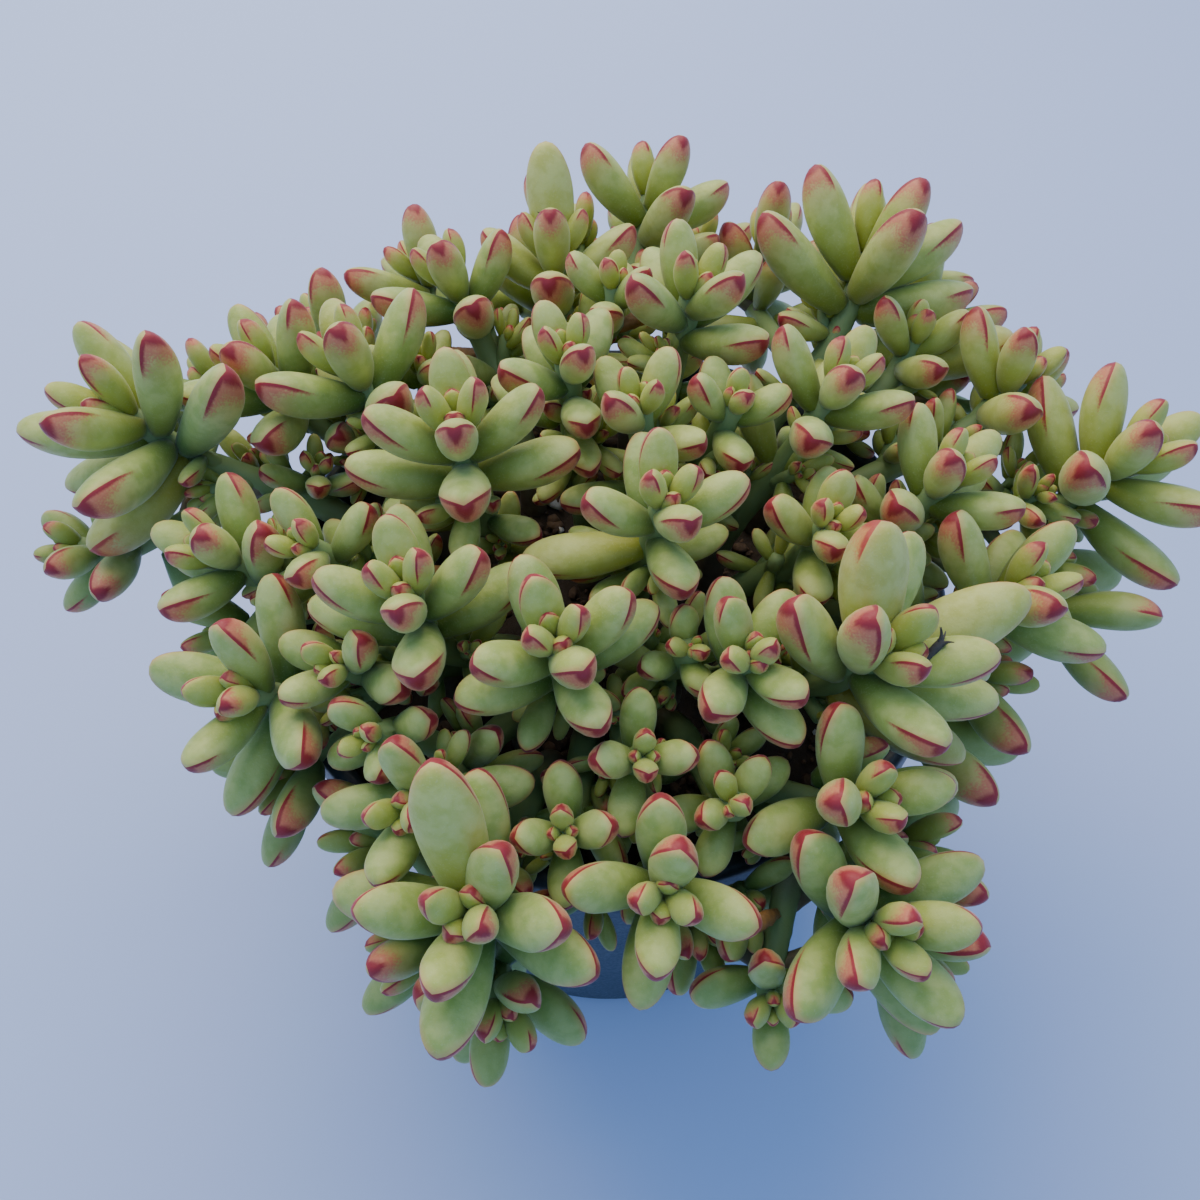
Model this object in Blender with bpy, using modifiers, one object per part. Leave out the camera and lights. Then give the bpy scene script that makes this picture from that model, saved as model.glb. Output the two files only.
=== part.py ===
"""A potted crassula: a mound of fat-leaved shoots in a plain 140 mm nursery pot.

Metres, +Z up. The origin is the middle of the pot's underside and the plant's front faces -Y.
The plant is laid out in millimetres: each stem stands in its own hole in the potting mix and
carries one or two heads, each head a stack of crossed pairs of leaves. The leaves of
neighbouring heads are then turned clear of each other, as they press each other apart when
they grow.
"""

import math

import bmesh
import bpy
import numpy as np
from mathutils import Vector

MM = 0.001

# The pot, in metres.
RIM_RADIUS = 0.070
BASE_RADIUS = 0.050
POT_HEIGHT = 0.113
LIP_HEIGHT = 0.011
LIP_OUT = 0.0025
LIP_EDGE = 0.0012
LIP_TAPER = 0.0004
WALL = 0.0016
RECESS = 0.003
FOOT_WIDTH = 0.005
CENTRE_RADIUS = 0.022
FOOT_EDGE = 0.002
FLOOR_EDGE = 0.003
DRAIN_HOLES = 8
DRAIN_RADIUS = 0.0045
DRAIN_RING = 0.036
POT_SIDES = 32

# The potting mix, in metres.
SOIL_TOP = 0.101
SOIL_GAP = 0.0003
SOIL_CROWN = 0.003
SOIL_CROWN_RADIUS = 0.03
SOIL_EDGE = 0.002
SOIL_SIDES = 20
HOLE_DEPTH = 0.012
HOLE_GAP = 0.0012

# Stems and leaves, in millimetres and degrees.
STEM_RADIUS = 3.0
TIP_STEM_RADIUS = 2.4
STEM_STEPS = 3
STEM_RISE = 0.42
STEM_NECK = 0.36
FORK = 2 / 3
OVER_RIM = 123
ROOT_SPREAD = 0.5
CROWN_DEPTH = 1.5
INTERNODE = 3.1
PAIR_STEP = 0.35
LEAF_INSET = 0.6
INNER_ANGLE = 20
LEAF_WIDTH = 0.45
LEAF_THICKNESS = 0.42
USUAL_LEAF = 20
SLIMMER = 0.4
NECK = 0.46
WIDEST = 0.6
TIP_POWER = 0.6
INNER_LENGTH = 0.56
INNER_WIDTH = 0.62
LEAF_BEND = 0.14
HOLE_SIDES = 5
LEAF_SIDES = 5
# A leaf's rings: place along it, and radius over its greatest. A lone leaf is 1.2 of full age.
LONE_RINGS = ((0.22, 0.58), (0.58, 1.07), (0.87, 0.74))
LEAF_RINGS = ((0.42, 1.02), (0.83, 0.84))
LONE_AGE = 1.2
STUB_RADIUS = 0.95
STUB_SINK = 4
# Edges shorter than this are drawn together where leaves are fused, in metres, the first that can be.
SHORTEST_EDGES = (0.0006, 0.0004, 0.0002)

# How leaves press each other apart: millimetres and degrees, probes as shares of a leaf's length,
# and gains a step.
CLEARANCE = 0.75
PROBES = np.array((0.26, 0.42, 0.58, 0.74, 0.9))
PROBE_REACH = 0.62
NEAR = 3
WALL_BAND = 8
OVER_SOIL = 5
MOST_TURN = 38
MOST_SHIFT = 3.0
SETTLE_STEPS = 160
STEPS_A_SEARCH = 10
MOST_TURN_A_STEP = 0.12
TURN_GAIN = 0.6
RETURN_GAIN = 0.03
SWAY_GAIN = 0.06
SWAY_RETURN = 0.02
TRIM_STEPS = 14
TIGHT = 0.35
TRIM = 0.95
SHORTEST_LEAF = 0.62

# One line for each stem, and one row for each head on it, the first at the top of the stem:
# crown x, y, z in mm, lean and the bearing it leans to, roll of the lowest pair, leaf length
# in mm, how far the lowest pair opens, and the number of pairs.
STEMS = (
    ((-12, 62, 147, 32, 95, 90, 22, 68, 4), (1, 42, 156, 18, 80, 80, 14, 62, 3)),
    ((10, 85, 146, 46, 75, 110, 23, 66, 4), (-22, 84, 122, 68, 110, 20, 21, 70, 3)),
    ((57, 63, 147, 45, 60, 15, 29, 66, 5), (38, 88, 120, 70, 70, 60, 22, 70, 3)),
    ((-34, 56, 145, 36, 135, 105, 21, 69, 4),),
    ((-8, 13, 163, 6, 120, 120, 17, 66, 4),),
    ((5, 3, 160, 5, 150, 140, 16, 64, 3),),
    ((16, 33, 161, 14, 40, 125, 21, 64, 4),),
    ((-96, 18, 143, 38, 180, 0, 30, 74, 5), (-112, 5, 117, 60, 190, 40, 16, 70, 3)),
    ((-71, 31, 142, 34, 165, 100, 23, 69, 4),),
    ((-52, 26, 148, 32, 145, 120, 24, 70, 4),),
    ((-27, -5, 163, 3, 180, 8, 22, 70, 5),),
    ((9, -22, 163, 10, -30, 105, 18, 68, 4),),
    ((23, 7, 157, 15, 0, 95, 14, 66, 3),),
    ((43, 12, 157, 25, 20, 70, 19, 66, 4),),
    ((66, 46, 138, 34, 45, 100, 17, 66, 3), (78, 60, 116, 65, 45, 30, 20, 70, 3)),
    ((86, 34, 138, 46, 32, 85, 21, 67, 4),),
    ((104, 12, 136, 34, 5, 125, 26, 75, 5),),
    ((63, -3, 148, 28, 15, 45, 19, 66, 4),),
    ((75, -21, 137, 34, -5, 60, 23, 76, 4),),
    ((39, -17, 151, 18, -50, 80, 15, 64, 4),),
    ((44, -45, 150, 28, -30, 170, 26, 72, 4),),
    ((23, -47, 153, 20, -60, 130, 17, 66, 4),),
    ((14, -41, 147, 22, -50, 20, 10, 60, 3),),
    ((-9, -46, 156, 12, -95, 25, 20, 64, 5),),
    ((-34, -36, 156, 10, -155, 10, 21, 66, 5),),
    ((5, -60, 143, 24, -70, 90, 13, 60, 3),),
    ((20, -67, 139, 26, -85, 12, 13, 60, 4), (41, -66, 139, 30, -50, 12, 21, 70, 4)),
    ((42, -85, 134, 34, -64, 125, 23, 76, 5), (26, -92, 119, 50, -95, 0, 14, 66, 3)),
    ((-22, -84, 137, 24, -105, 167, 25, 70, 5), (-18, -92, 116, 63, -80, 65, 18, 72, 4)),
    ((-8, -71, 138, 24, -98, 92, 13, 60, 3),),
    ((8, -81, 137, 34, -90, 80, 20, 68, 4),),
    ((-33, -67, 138, 44, -115, 0, 18, 70, 3), (-41, -54, 139, 46, -125, 30, 12, 62, 3)),
    ((-64, -43, 135, 42, -135, 75, 23, 70, 4),),
    ((-74, -14, 139, 38, -175, 155, 19, 62, 4),),
    ((-55, -19, 147, 32, -155, 22, 15, 66, 3),),
    ((-47, -42, 143, 34, -140, 150, 15, 64, 3),),
    ((-66, 58, 128, 56, 140, 50, 21, 70, 3),),
)

# Old leaves that outgrew their pairs: stem, how far below its top crown in mm, lean and bearing,
# length and width in mm.
LONE_LEAVES = (
    (0, 4, 33, 92, 27, 10.5),
    (14, 8, 74, 15, 27, 11.5),
    (20, 3, 32, 85, 25, 12.5),
    (20, 13, 78, 12, 36, 12.5),
    (20, 17, 96, -20, 28, 9.5),
    (7, 16, 98, -128, 28, 12),
    (11, 14, 94, 185, 23, 9.5),
    (28, 5, 40, 88, 30, 11.5),
)

# Dried stalks of old flowers: stem, and where the stub shows and ends from the top crown, in mm.
STUBS = (
    (0, (0.5, -2.2, -0.4), (-1.3, 2.3, 7.9)),
    (20, (2.8, -4.8, -1.0), (9.0, -0.3, 4.7)),
)

POT_COLOUR = (0.022, 0.028, 0.036, 1)
SOIL_COLOUR = (0.045, 0.028, 0.018, 1)
LEAF_COLOUR = (0.27, 0.40, 0.17, 1)


def unit(v):
    return v / np.linalg.norm(v, axis=-1, keepdims=True)


def leaning(lean, bearing):
    """The unit vector at this lean from +Z, towards this bearing from +X."""
    lean, bearing = math.radians(lean), math.radians(bearing)
    flat = math.sin(lean)
    return np.array((flat * math.cos(bearing), flat * math.sin(bearing), math.cos(lean)))


def across(axis):
    """Two unit vectors square to the axis, the first of them as near to +X as it can be."""
    first = unit(np.array((1.0, 0.0, 0.0)) - axis[0] * axis)
    return first, np.cross(axis, first)


def leaf_radius(s):
    """A leaf's radius over its greatest one, from its neck at s = 0 to its tip at s = 1."""
    s = np.asarray(s, float)
    neck = NECK + (1 - NECK) * np.sin(np.clip(s / WIDEST, 0, 1) * math.pi / 2)
    tip = (1 - np.clip((s - WIDEST) / (1 - WIDEST), 0, 1) ** 2) ** TIP_POWER
    return neck * tip


def pot_radius(z):
    """The pot's outer radius in mm at a height in mm, with its lip."""
    taper = BASE_RADIUS + (RIM_RADIUS - LIP_OUT - BASE_RADIUS) * z * MM / POT_HEIGHT
    lip = z > (POT_HEIGHT - LIP_HEIGHT) / MM
    return np.where(lip, RIM_RADIUS, taper) / MM


def bezier(p0, p1, p2, p3, t):
    t = np.asarray(t, float)[..., None]
    return (1 - t) ** 3 * p0 + 3 * t * (1 - t) ** 2 * p1 + 3 * t * t * (1 - t) * p2 + t**3 * p3


def stem_path(start, foot, axis):
    """Control points of a bare stem that leaves the mix upright and passes over the pot's rim."""
    reach = np.linalg.norm(foot - start)
    rise = start + np.array((0, 0, max(reach * STEM_RISE, OVER_RIM - start[2])))
    neck = foot - axis * reach * STEM_NECK
    neck[2] = max(neck[2], min(foot[2], OVER_RIM))
    return start, rise, neck, foot


def depth_below(pairs, age):
    """How far below its crown a leaf leaves the stem, from the youngest, age 0, to the oldest."""
    return CROWN_DEPTH + age * INTERNODE * (pairs - 1)


def lay_out():
    """The heads, as (stem, crown, axis, stem path), and the leaves as arrays of one row each."""
    heads = []
    rows = []
    for stem, group in enumerate(STEMS):
        for place, (x, y, z, lean, bearing, roll, length, opening, pairs) in enumerate(group):
            crown = np.array((x, y, z), float)
            axis = leaning(lean, bearing)
            foot = crown - axis * (depth_below(pairs, 1) + CROWN_DEPTH)
            if place == 0:
                collar = (SOIL_TOP + SOIL_CROWN) / MM + 1
                main = stem_path(np.array((x * ROOT_SPREAD, y * ROOT_SPREAD, collar)), foot, axis)
                path = main
            else:
                fork = bezier(*main, FORK)
                path = (fork, fork * 2 / 3 + foot / 3, fork / 3 + foot * 2 / 3, foot)
            first, second = across(axis)
            stout = length * (USUAL_LEAF / length) ** SLIMMER
            for pair in range(pairs):
                age = 1 - pair / (pairs - 1)
                tilt = math.radians(INNER_ANGLE + (opening - INNER_ANGLE) * age**0.9)
                size = length * (1 - (1 - INNER_LENGTH) * (1 - age) ** 2.5)
                width = stout * (1 - (1 - INNER_WIDTH) * (1 - age) ** 3)
                for side in (0, 180):
                    turn = math.radians(roll + 90 * pair + side)
                    out = math.cos(turn) * first + math.sin(turn) * second
                    drop = depth_below(pairs, age) + PAIR_STEP * (side > 0)
                    grow = math.cos(tilt) * axis + math.sin(tilt) * out
                    offset = out * LEAF_INSET - axis * drop
                    rows.append((len(heads), stem, age, size, width, *offset, *grow))
            heads.append((stem, crown, axis, path))
    tops = {head[0]: index for index, head in reversed(list(enumerate(heads)))}
    for stem, drop, lean, bearing, length, width in LONE_LEAVES:
        axis = heads[tops[stem]][2]
        grow = leaning(lean, bearing)
        rows.append((tops[stem], stem, LONE_AGE, length, width / LEAF_WIDTH, *(-axis * drop), *grow))
    rows = np.array(rows)
    leaves = {
        "head": rows[:, 0].astype(int),
        "stem": rows[:, 1].astype(int),
        "age": rows[:, 2],
        "length": rows[:, 3],
        "radius": rows[:, 4] * (LEAF_WIDTH + LEAF_THICKNESS) / 4,
        "offset": rows[:, 5:8],
        "grow": rows[:, 8:11],
    }
    return heads, leaves


def inward(leaves, heads, grow):
    """Each leaf's unit vector square to its length, on the side that faces the head's axis."""
    axis = np.array([head[2] for head in heads])[leaves["head"]]
    return unit(axis - (axis * grow).sum(1, keepdims=True) * grow)


def points_on(base, grow, towards, length, s):
    """Points at the fractions s of each leaf's gently curved middle line."""
    s = s[None, :, None]
    length = length[:, None, None]
    straight = grow[:, None] * s
    bow = towards[:, None] * (LEAF_BEND * s * (1 - s))
    return base[:, None] + length * (straight - bow)


def near_pairs(middle, reach):
    """Pairs of leaves that are close enough to touch, each pair once."""
    gap = np.linalg.norm(middle[:, None] - middle[None], axis=2)
    first, second = np.nonzero(gap < reach[:, None] + reach[None] + NEAR)
    once = first < second
    return first[once], second[once]


def overlaps(points, radius, first, second, leaves):
    """How deep each pair's probes sink into each other, and the direction that parts them."""
    apart = points[first][:, :, None] - points[second][:, None]
    gap = np.linalg.norm(apart, axis=3)
    wanted = radius[first][:, :, None] + radius[second][:, None] + CLEARANCE
    depth = np.maximum(wanted - gap, 0)
    # The leaves of one head meet at their necks, so only their outer parts are kept apart.
    same = leaves["head"][first] == leaves["head"][second]
    depth[same, :2, :] = 0
    depth[same, :, :2] = 0
    return depth, apart / np.maximum(gap, 1e-6)[..., None]


def stem_probes(heads):
    """Points down the bare part of every stem, with the stem that each belongs to."""
    t = np.linspace(0.05, 0.97, 14)
    points = np.array([bezier(*head[3], t) for head in heads])
    owner = np.repeat([head[0] for head in heads], len(t))
    return points.reshape(-1, 3), owner


def near_stems(middle, reach, leaves, heads):
    """Pairs of a leaf and a stem probe that are close and belong to different stems."""
    stem_points, stem_owner = stem_probes(heads)
    gap = np.linalg.norm(middle[:, None] - stem_points[None], axis=2)
    near = gap < reach[:, None] + STEM_RADIUS + NEAR
    return np.nonzero(near & (leaves["stem"][:, None] != stem_owner[None]))


def stem_overlaps(points, radius, leaf_index, stem_points):
    """How deep each leaf's probes sink into the stem probes near it."""
    apart = points[leaf_index] - stem_points[:, None]
    gap = np.linalg.norm(apart, axis=2)
    return apart, gap, np.maximum(radius[leaf_index] + STEM_RADIUS + CLEARANCE - gap, 0)


def pot_push(points, radius):
    """Moves that take probes out of the pot's wall and off the potting mix."""
    flat = np.linalg.norm(points[..., :2], axis=-1)
    z = points[..., 2]
    reach = radius + CLEARANCE
    outer = pot_radius(z)
    push = np.zeros_like(points)
    up = POT_HEIGHT / MM + reach - z
    out = outer + reach - flat
    at_wall = (up > 0) & (out > 0) & (flat > RIM_RADIUS / MM - WALL_BAND - reach)
    lift = at_wall & (up <= out)
    push[..., 2] = np.where(lift, up, 0)
    aside = np.where(at_wall & ~lift, out, 0) / np.maximum(flat, 1e-6)
    push[..., :2] += points[..., :2] * aside[..., None]
    over_soil = flat <= RIM_RADIUS / MM - WALL_BAND - reach
    push[..., 2] += np.where(over_soil, np.maximum(SOIL_TOP / MM + OVER_SOIL + reach - z, 0), 0)
    return push


def settle(heads, leaves):
    """Turns the leaves, and shifts the heads a little, until they press on each other no more."""
    stem_points, _ = stem_probes(heads)
    crowns = np.array([head[1] for head in heads])
    shift = np.zeros_like(crowns)
    start = leaves["grow"].copy()
    grow = start.copy()
    length = leaves["length"].copy()
    head = leaves["head"]
    least_cos = math.cos(math.radians(MOST_TURN))
    radius = leaves["radius"][:, None] * leaf_radius(PROBES)
    lever = length[:, None] * PROBES
    for step in range(SETTLE_STEPS):
        base = crowns[head] + shift[head] + leaves["offset"]
        points = points_on(base, grow, inward(leaves, heads, grow), length, PROBES)
        if step % STEPS_A_SEARCH == 0:
            first, second = near_pairs(points[:, 2], length * PROBE_REACH)
            leaf_index, stem_index = near_stems(points[:, 2], length * PROBE_REACH, leaves, heads)
        depth, away = overlaps(points, radius, first, second, leaves)
        move = depth[..., None] * away * 0.5
        push = np.zeros_like(points)
        np.add.at(push, first, move.sum(2))
        np.add.at(push, second, -move.sum(1))
        apart, gap, sunk = stem_overlaps(points, radius, leaf_index, stem_points[stem_index])
        np.add.at(push, leaf_index, apart * (sunk / np.maximum(gap, 1e-6))[..., None])
        push += pot_push(points, radius)
        turn = (push / lever[..., None]).sum(1)
        turn -= (turn * grow).sum(1, keepdims=True) * grow
        size = np.linalg.norm(turn, axis=1, keepdims=True)
        turn *= np.minimum(1, MOST_TURN_A_STEP / np.maximum(size, 1e-9)) * TURN_GAIN
        grow = unit(grow + turn + RETURN_GAIN * (start - grow))
        far = (grow * start).sum(1) < least_cos
        side = unit(grow - (grow * start).sum(1, keepdims=True) * start + 1e-12)
        limit = least_cos * start + math.sqrt(1 - least_cos**2) * side
        grow[far] = limit[far]
        sway = np.zeros_like(shift)
        np.add.at(sway, head, push.mean(1))
        shift += SWAY_GAIN * sway - SWAY_RETURN * shift
        far = np.linalg.norm(shift, axis=1)
        shift *= np.minimum(1, MOST_SHIFT / np.maximum(far, 1e-9))[:, None]
    return shift, grow


def trim(heads, leaves, shift, grow):
    """Shortens the leaves that still press on another stem's, and drops what can't be cleared."""
    stem_points, _ = stem_probes(heads)
    crowns = np.array([head[1] for head in heads]) + shift
    base = crowns[leaves["head"]] + leaves["offset"]
    towards = inward(leaves, heads, grow)
    length = leaves["length"].copy()
    kept = np.ones(len(length), bool)
    for attempt in range(TRIM_STEPS):
        radius = (leaves["radius"] * length / leaves["length"])[:, None] * leaf_radius(PROBES)
        points = points_on(base, grow, towards, length, PROBES)
        first, second = near_pairs(points[:, 2], length * PROBE_REACH)
        depth, _ = overlaps(points, radius, first, second, leaves)
        other = leaves["stem"][first] != leaves["stem"][second]
        deep = depth.max((1, 2)) * other * (kept[first] & kept[second])
        pressed = np.zeros(len(length))
        np.maximum.at(pressed, first, deep)
        np.maximum.at(pressed, second, deep)
        leaf_index, stem_index = near_stems(points[:, 2], length * PROBE_REACH, leaves, heads)
        _, _, sunk = stem_overlaps(points, radius, leaf_index, stem_points[stem_index])
        np.maximum.at(pressed, leaf_index, sunk.max(1))
        wall = np.linalg.norm(pot_push(points, radius), axis=2).max(1)
        pressed = np.maximum(pressed, wall) * kept
        tight = pressed > TIGHT
        if not tight.any():
            break
        length[tight] *= TRIM
        kept &= ~(tight & (length < SHORTEST_LEAF * leaves["length"]))
    return length, kept


def principled(name, colour, roughness):
    made = bpy.data.materials.new(name)
    made.use_nodes = True
    shader = made.node_tree.nodes["Principled BSDF"]
    shader.inputs["Base Color"].default_value = colour
    shader.inputs["Roughness"].default_value = roughness
    shader.inputs["Metallic"].default_value = 0.0
    made.diffuse_color = colour
    return made


def object_of(name, mesh, collection, material=None):
    made = bpy.data.objects.new(name, mesh)
    collection.objects.link(made)
    if material:
        mesh.materials.append(material)
    return made


def new_collection(name):
    made = bpy.data.collections.new(name)
    bpy.context.scene.collection.children.link(made)
    return made


def turned(name, outline, sides, collection, material=None):
    """An outline of (radius, height) points, down its outer side, turned about +Z."""
    mesh = bpy.data.meshes.new(name)
    edges = [(i, i + 1) for i in range(len(outline) - 1)]
    mesh.from_pydata([(radius, 0, height) for radius, height in outline], edges, [])
    made = object_of(name, mesh, collection, material)
    screw = made.modifiers.new("Turn", "SCREW")
    screw.steps = sides
    screw.render_steps = sides
    screw.use_merge_vertices = True
    screw.merge_threshold = 0.0001
    return made


def cut(target, cutters):
    boolean = target.modifiers.new("Cut " + cutters.name, "BOOLEAN")
    boolean.operation = "DIFFERENCE"
    boolean.operand_type = "COLLECTION"
    boolean.collection = cutters


def rod(name, radius, depth, sides, place, axis, collection):
    """A closed prism centred on a place, along an axis."""
    grid = bmesh.new()
    bmesh.ops.create_cone(
        grid, cap_ends=True, segments=sides, radius1=radius, radius2=radius, depth=depth
    )
    mesh = bpy.data.meshes.new(name)
    grid.to_mesh(mesh)
    grid.free()
    made = object_of(name, mesh, collection)
    made.location = place
    made.rotation_mode = "QUATERNION"
    made.rotation_quaternion = Vector(axis).to_track_quat("Z", "Y")
    return made


def make_cutter_collection(name):
    cutters = new_collection(name)
    cutters.hide_render = True
    return cutters


def as_cutter(made):
    made.hide_render = True
    made.display_type = "WIRE"


def inner_radius(height):
    """The pot's inner radius in metres at a height above its base."""
    outer_top = RIM_RADIUS - LIP_OUT
    return BASE_RADIUS + (outer_top - BASE_RADIUS) * height / POT_HEIGHT - WALL


def make_pot(collection):
    outer_top = RIM_RADIUS - LIP_OUT
    lip_foot = POT_HEIGHT - LIP_HEIGHT
    at_lip = BASE_RADIUS + (outer_top - BASE_RADIUS) * lip_foot / POT_HEIGHT
    floor = RECESS + WALL
    outline = (
        (inner_radius(POT_HEIGHT), POT_HEIGHT - LIP_EDGE),
        (inner_radius(POT_HEIGHT) + LIP_EDGE, POT_HEIGHT),
        (RIM_RADIUS - LIP_EDGE, POT_HEIGHT),
        (RIM_RADIUS, POT_HEIGHT - LIP_EDGE),
        (RIM_RADIUS - LIP_TAPER, lip_foot),
        (at_lip, lip_foot - LIP_TAPER),
        (BASE_RADIUS + LIP_TAPER, FOOT_EDGE),
        (BASE_RADIUS - FOOT_EDGE / 2, 0.0),
        (BASE_RADIUS - FOOT_WIDTH, 0.0),
        (BASE_RADIUS - FOOT_WIDTH - RECESS, RECESS),
        (CENTRE_RADIUS + RECESS, RECESS),
        (CENTRE_RADIUS, 0.0),
        (0.0, 0.0),
    )
    inside = (
        (0.0, floor),
        (inner_radius(floor) - FLOOR_EDGE, floor),
        (inner_radius(floor + FLOOR_EDGE), floor + FLOOR_EDGE),
    )
    ring = outline + inside + (outline[0],)
    plastic = principled("dark pot plastic", POT_COLOUR, 0.45)
    pot = turned("pot", ring, POT_SIDES, collection, plastic)
    cutters = make_cutter_collection("drain holes")
    for hole in range(DRAIN_HOLES):
        angle = 2 * math.pi * (hole + 0.5) / DRAIN_HOLES
        place = (DRAIN_RING * math.cos(angle), DRAIN_RING * math.sin(angle), floor)
        as_cutter(rod("drain hole", DRAIN_RADIUS, 4 * WALL, 8, place, (0, 0, 1), cutters))
    cut(pot, cutters)
    return pot


def rooted(path):
    """Whether a stem stands in the mix, and isn't a branch."""
    return path[0][2] * MM < SOIL_TOP + 2 * SOIL_CROWN


def make_soil(heads, collection):
    """The plug of mix, a little clear of the pot all round, with a hole for each stem."""
    foot = RECESS + WALL + SOIL_GAP
    side_foot = foot + FLOOR_EDGE
    # The pot's wall is a prism, so its flats lie nearer the axis than its corners do.
    flat = math.cos(math.pi / POT_SIDES)
    outline = (
        (0.0, SOIL_TOP + SOIL_CROWN),
        (SOIL_CROWN_RADIUS, SOIL_TOP + SOIL_CROWN * 0.7),
        (inner_radius(SOIL_TOP) * flat - SOIL_GAP - SOIL_EDGE, SOIL_TOP),
        (inner_radius(SOIL_TOP - SOIL_EDGE) * flat - SOIL_GAP, SOIL_TOP - SOIL_EDGE),
        (inner_radius(side_foot) * flat - SOIL_GAP, side_foot),
        (inner_radius(foot) * flat - FLOOR_EDGE - SOIL_GAP, foot),
        (0.0, foot),
    )
    compost = principled("potting mix", SOIL_COLOUR, 0.95)
    soil = turned("potting_mix", outline, SOIL_SIDES, collection, compost)
    cutters = make_cutter_collection("stem holes")
    hole_top = SOIL_TOP + 3 * SOIL_CROWN
    for stem, crown, axis, path in heads:
        if not rooted(path):
            continue
        bottom = SOIL_TOP - HOLE_DEPTH - SOIL_GAP
        place = (path[0][0] * MM, path[0][1] * MM, (hole_top + bottom) / 2)
        radius = STEM_RADIUS * MM + HOLE_GAP
        as_cutter(rod("stem hole", radius, hole_top - bottom, HOLE_SIDES, place, (0, 0, 1), cutters))
    cut(soil, cutters)
    return soil


def face_out(grid):
    if grid.calc_volume(signed=True) < 0:
        bmesh.ops.reverse_faces(grid, faces=grid.faces)


def stem_object(places, first_radius, last_radius, collection):
    """A six-sided tube through these places, as a closed mesh."""
    curve = bpy.data.curves.new("stem path", "CURVE")
    curve.dimensions = "3D"
    curve.bevel_depth = MM
    curve.bevel_resolution = 1
    curve.use_fill_caps = True
    spline = curve.splines.new("POLY")
    spline.points.add(len(places) - 1)
    for i, (point, place) in enumerate(zip(spline.points, places)):
        point.co = (*(place * MM), 1)
        point.radius = first_radius + (last_radius - first_radius) * i / (len(places) - 1)
    guide = object_of("stem guide", curve, collection)
    graph = bpy.context.evaluated_depsgraph_get()
    mesh = bpy.data.meshes.new_from_object(guide.evaluated_get(graph))
    bpy.data.objects.remove(guide)
    grid = bmesh.new()
    grid.from_mesh(mesh)
    bmesh.ops.remove_doubles(grid, verts=grid.verts, dist=1e-5)
    face_out(grid)
    grid.to_mesh(mesh)
    grid.free()
    return object_of("stem tube", mesh, collection)


def leaf_object(base, grow, towards, length, radius, rings, collection):
    """One leaf: a low sphere drawn out along a bowed line, fattest past its middle."""
    grid = bmesh.new()
    bands = len(rings) + 1
    bmesh.ops.create_uvsphere(grid, u_segments=LEAF_SIDES, v_segments=bands, radius=1)
    levels = ((0.0, 0.0), *rings, (1.0, 0.0))
    aside = np.cross(towards, grow)
    wide = 2 * LEAF_WIDTH / (LEAF_WIDTH + LEAF_THICKNESS)
    thick = 2 - wide
    for vert in grid.verts:
        s, thickness = levels[round(math.acos(max(-1, min(1, -vert.co.z))) / math.pi * bands)]
        flat = math.hypot(vert.co.x, vert.co.y) or 1
        around = radius * thickness
        middle = base + length * (grow * s - towards * LEAF_BEND * s * (1 - s))
        spread = aside * (wide * vert.co.x / flat) + towards * (thick * vert.co.y / flat)
        vert.co = Vector((middle + spread * around) * MM)
    face_out(grid)
    mesh = bpy.data.meshes.new("leaf")
    grid.to_mesh(mesh)
    grid.free()
    return object_of("leaf", mesh, collection)


def shells_of(grid):
    """The mesh's groups of faces that are joined by their edges."""
    left = set(grid.faces)
    shells = []
    while left:
        found = [left.pop()]
        for face in found:
            for edge in face.edges:
                for other in edge.link_faces:
                    if other in left:
                        left.remove(other)
                        found.append(other)
        shells.append(found)
    return shells


def keep_outer_shell(mesh):
    """Fills the small hollows that fused leaves seal between them, and drops loose scraps."""
    grid = bmesh.new()
    grid.from_mesh(mesh)
    shells = sorted(shells_of(grid), key=len)
    for shell in shells[:-1]:
        bmesh.ops.delete(grid, geom=shell, context="FACES")
    grid.to_mesh(mesh)
    grid.free()


def draw_short_edges_together(mesh):
    """Takes out the short edges that fusing leaves, as far as that keeps the mesh closed."""
    for shortest in SHORTEST_EDGES:
        grid = bmesh.new()
        grid.from_mesh(mesh)
        bmesh.ops.triangulate(grid, faces=grid.faces)
        bmesh.ops.dissolve_degenerate(grid, dist=shortest, edges=grid.edges)
        bmesh.ops.triangulate(grid, faces=grid.faces)
        closed = all(len(edge.link_faces) == 2 for edge in grid.edges)
        if closed:
            grid.to_mesh(mesh)
        grid.free()
        if closed:
            return


def fuse(name, pieces, collection, material):
    """One closed solid of all the objects in a collection, which are then removed."""
    first = pieces.objects[0]
    mesh = first.data.copy()
    made = object_of(name, mesh, collection)
    bpy.data.objects.remove(first)
    union = made.modifiers.new("Fuse", "BOOLEAN")
    union.operation = "UNION"
    union.operand_type = "COLLECTION"
    union.collection = pieces
    union.solver = "MANIFOLD"
    graph = bpy.context.evaluated_depsgraph_get()
    fused = bpy.data.meshes.new_from_object(made.evaluated_get(graph))
    made.modifiers.clear()
    keep_outer_shell(fused)
    draw_short_edges_together(fused)
    made.data = fused
    fused.name = name
    fused.materials.clear()
    fused.materials.append(material)
    for piece in list(pieces.objects):
        bpy.data.objects.remove(piece)
    bpy.data.collections.remove(pieces)
    return made


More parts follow.
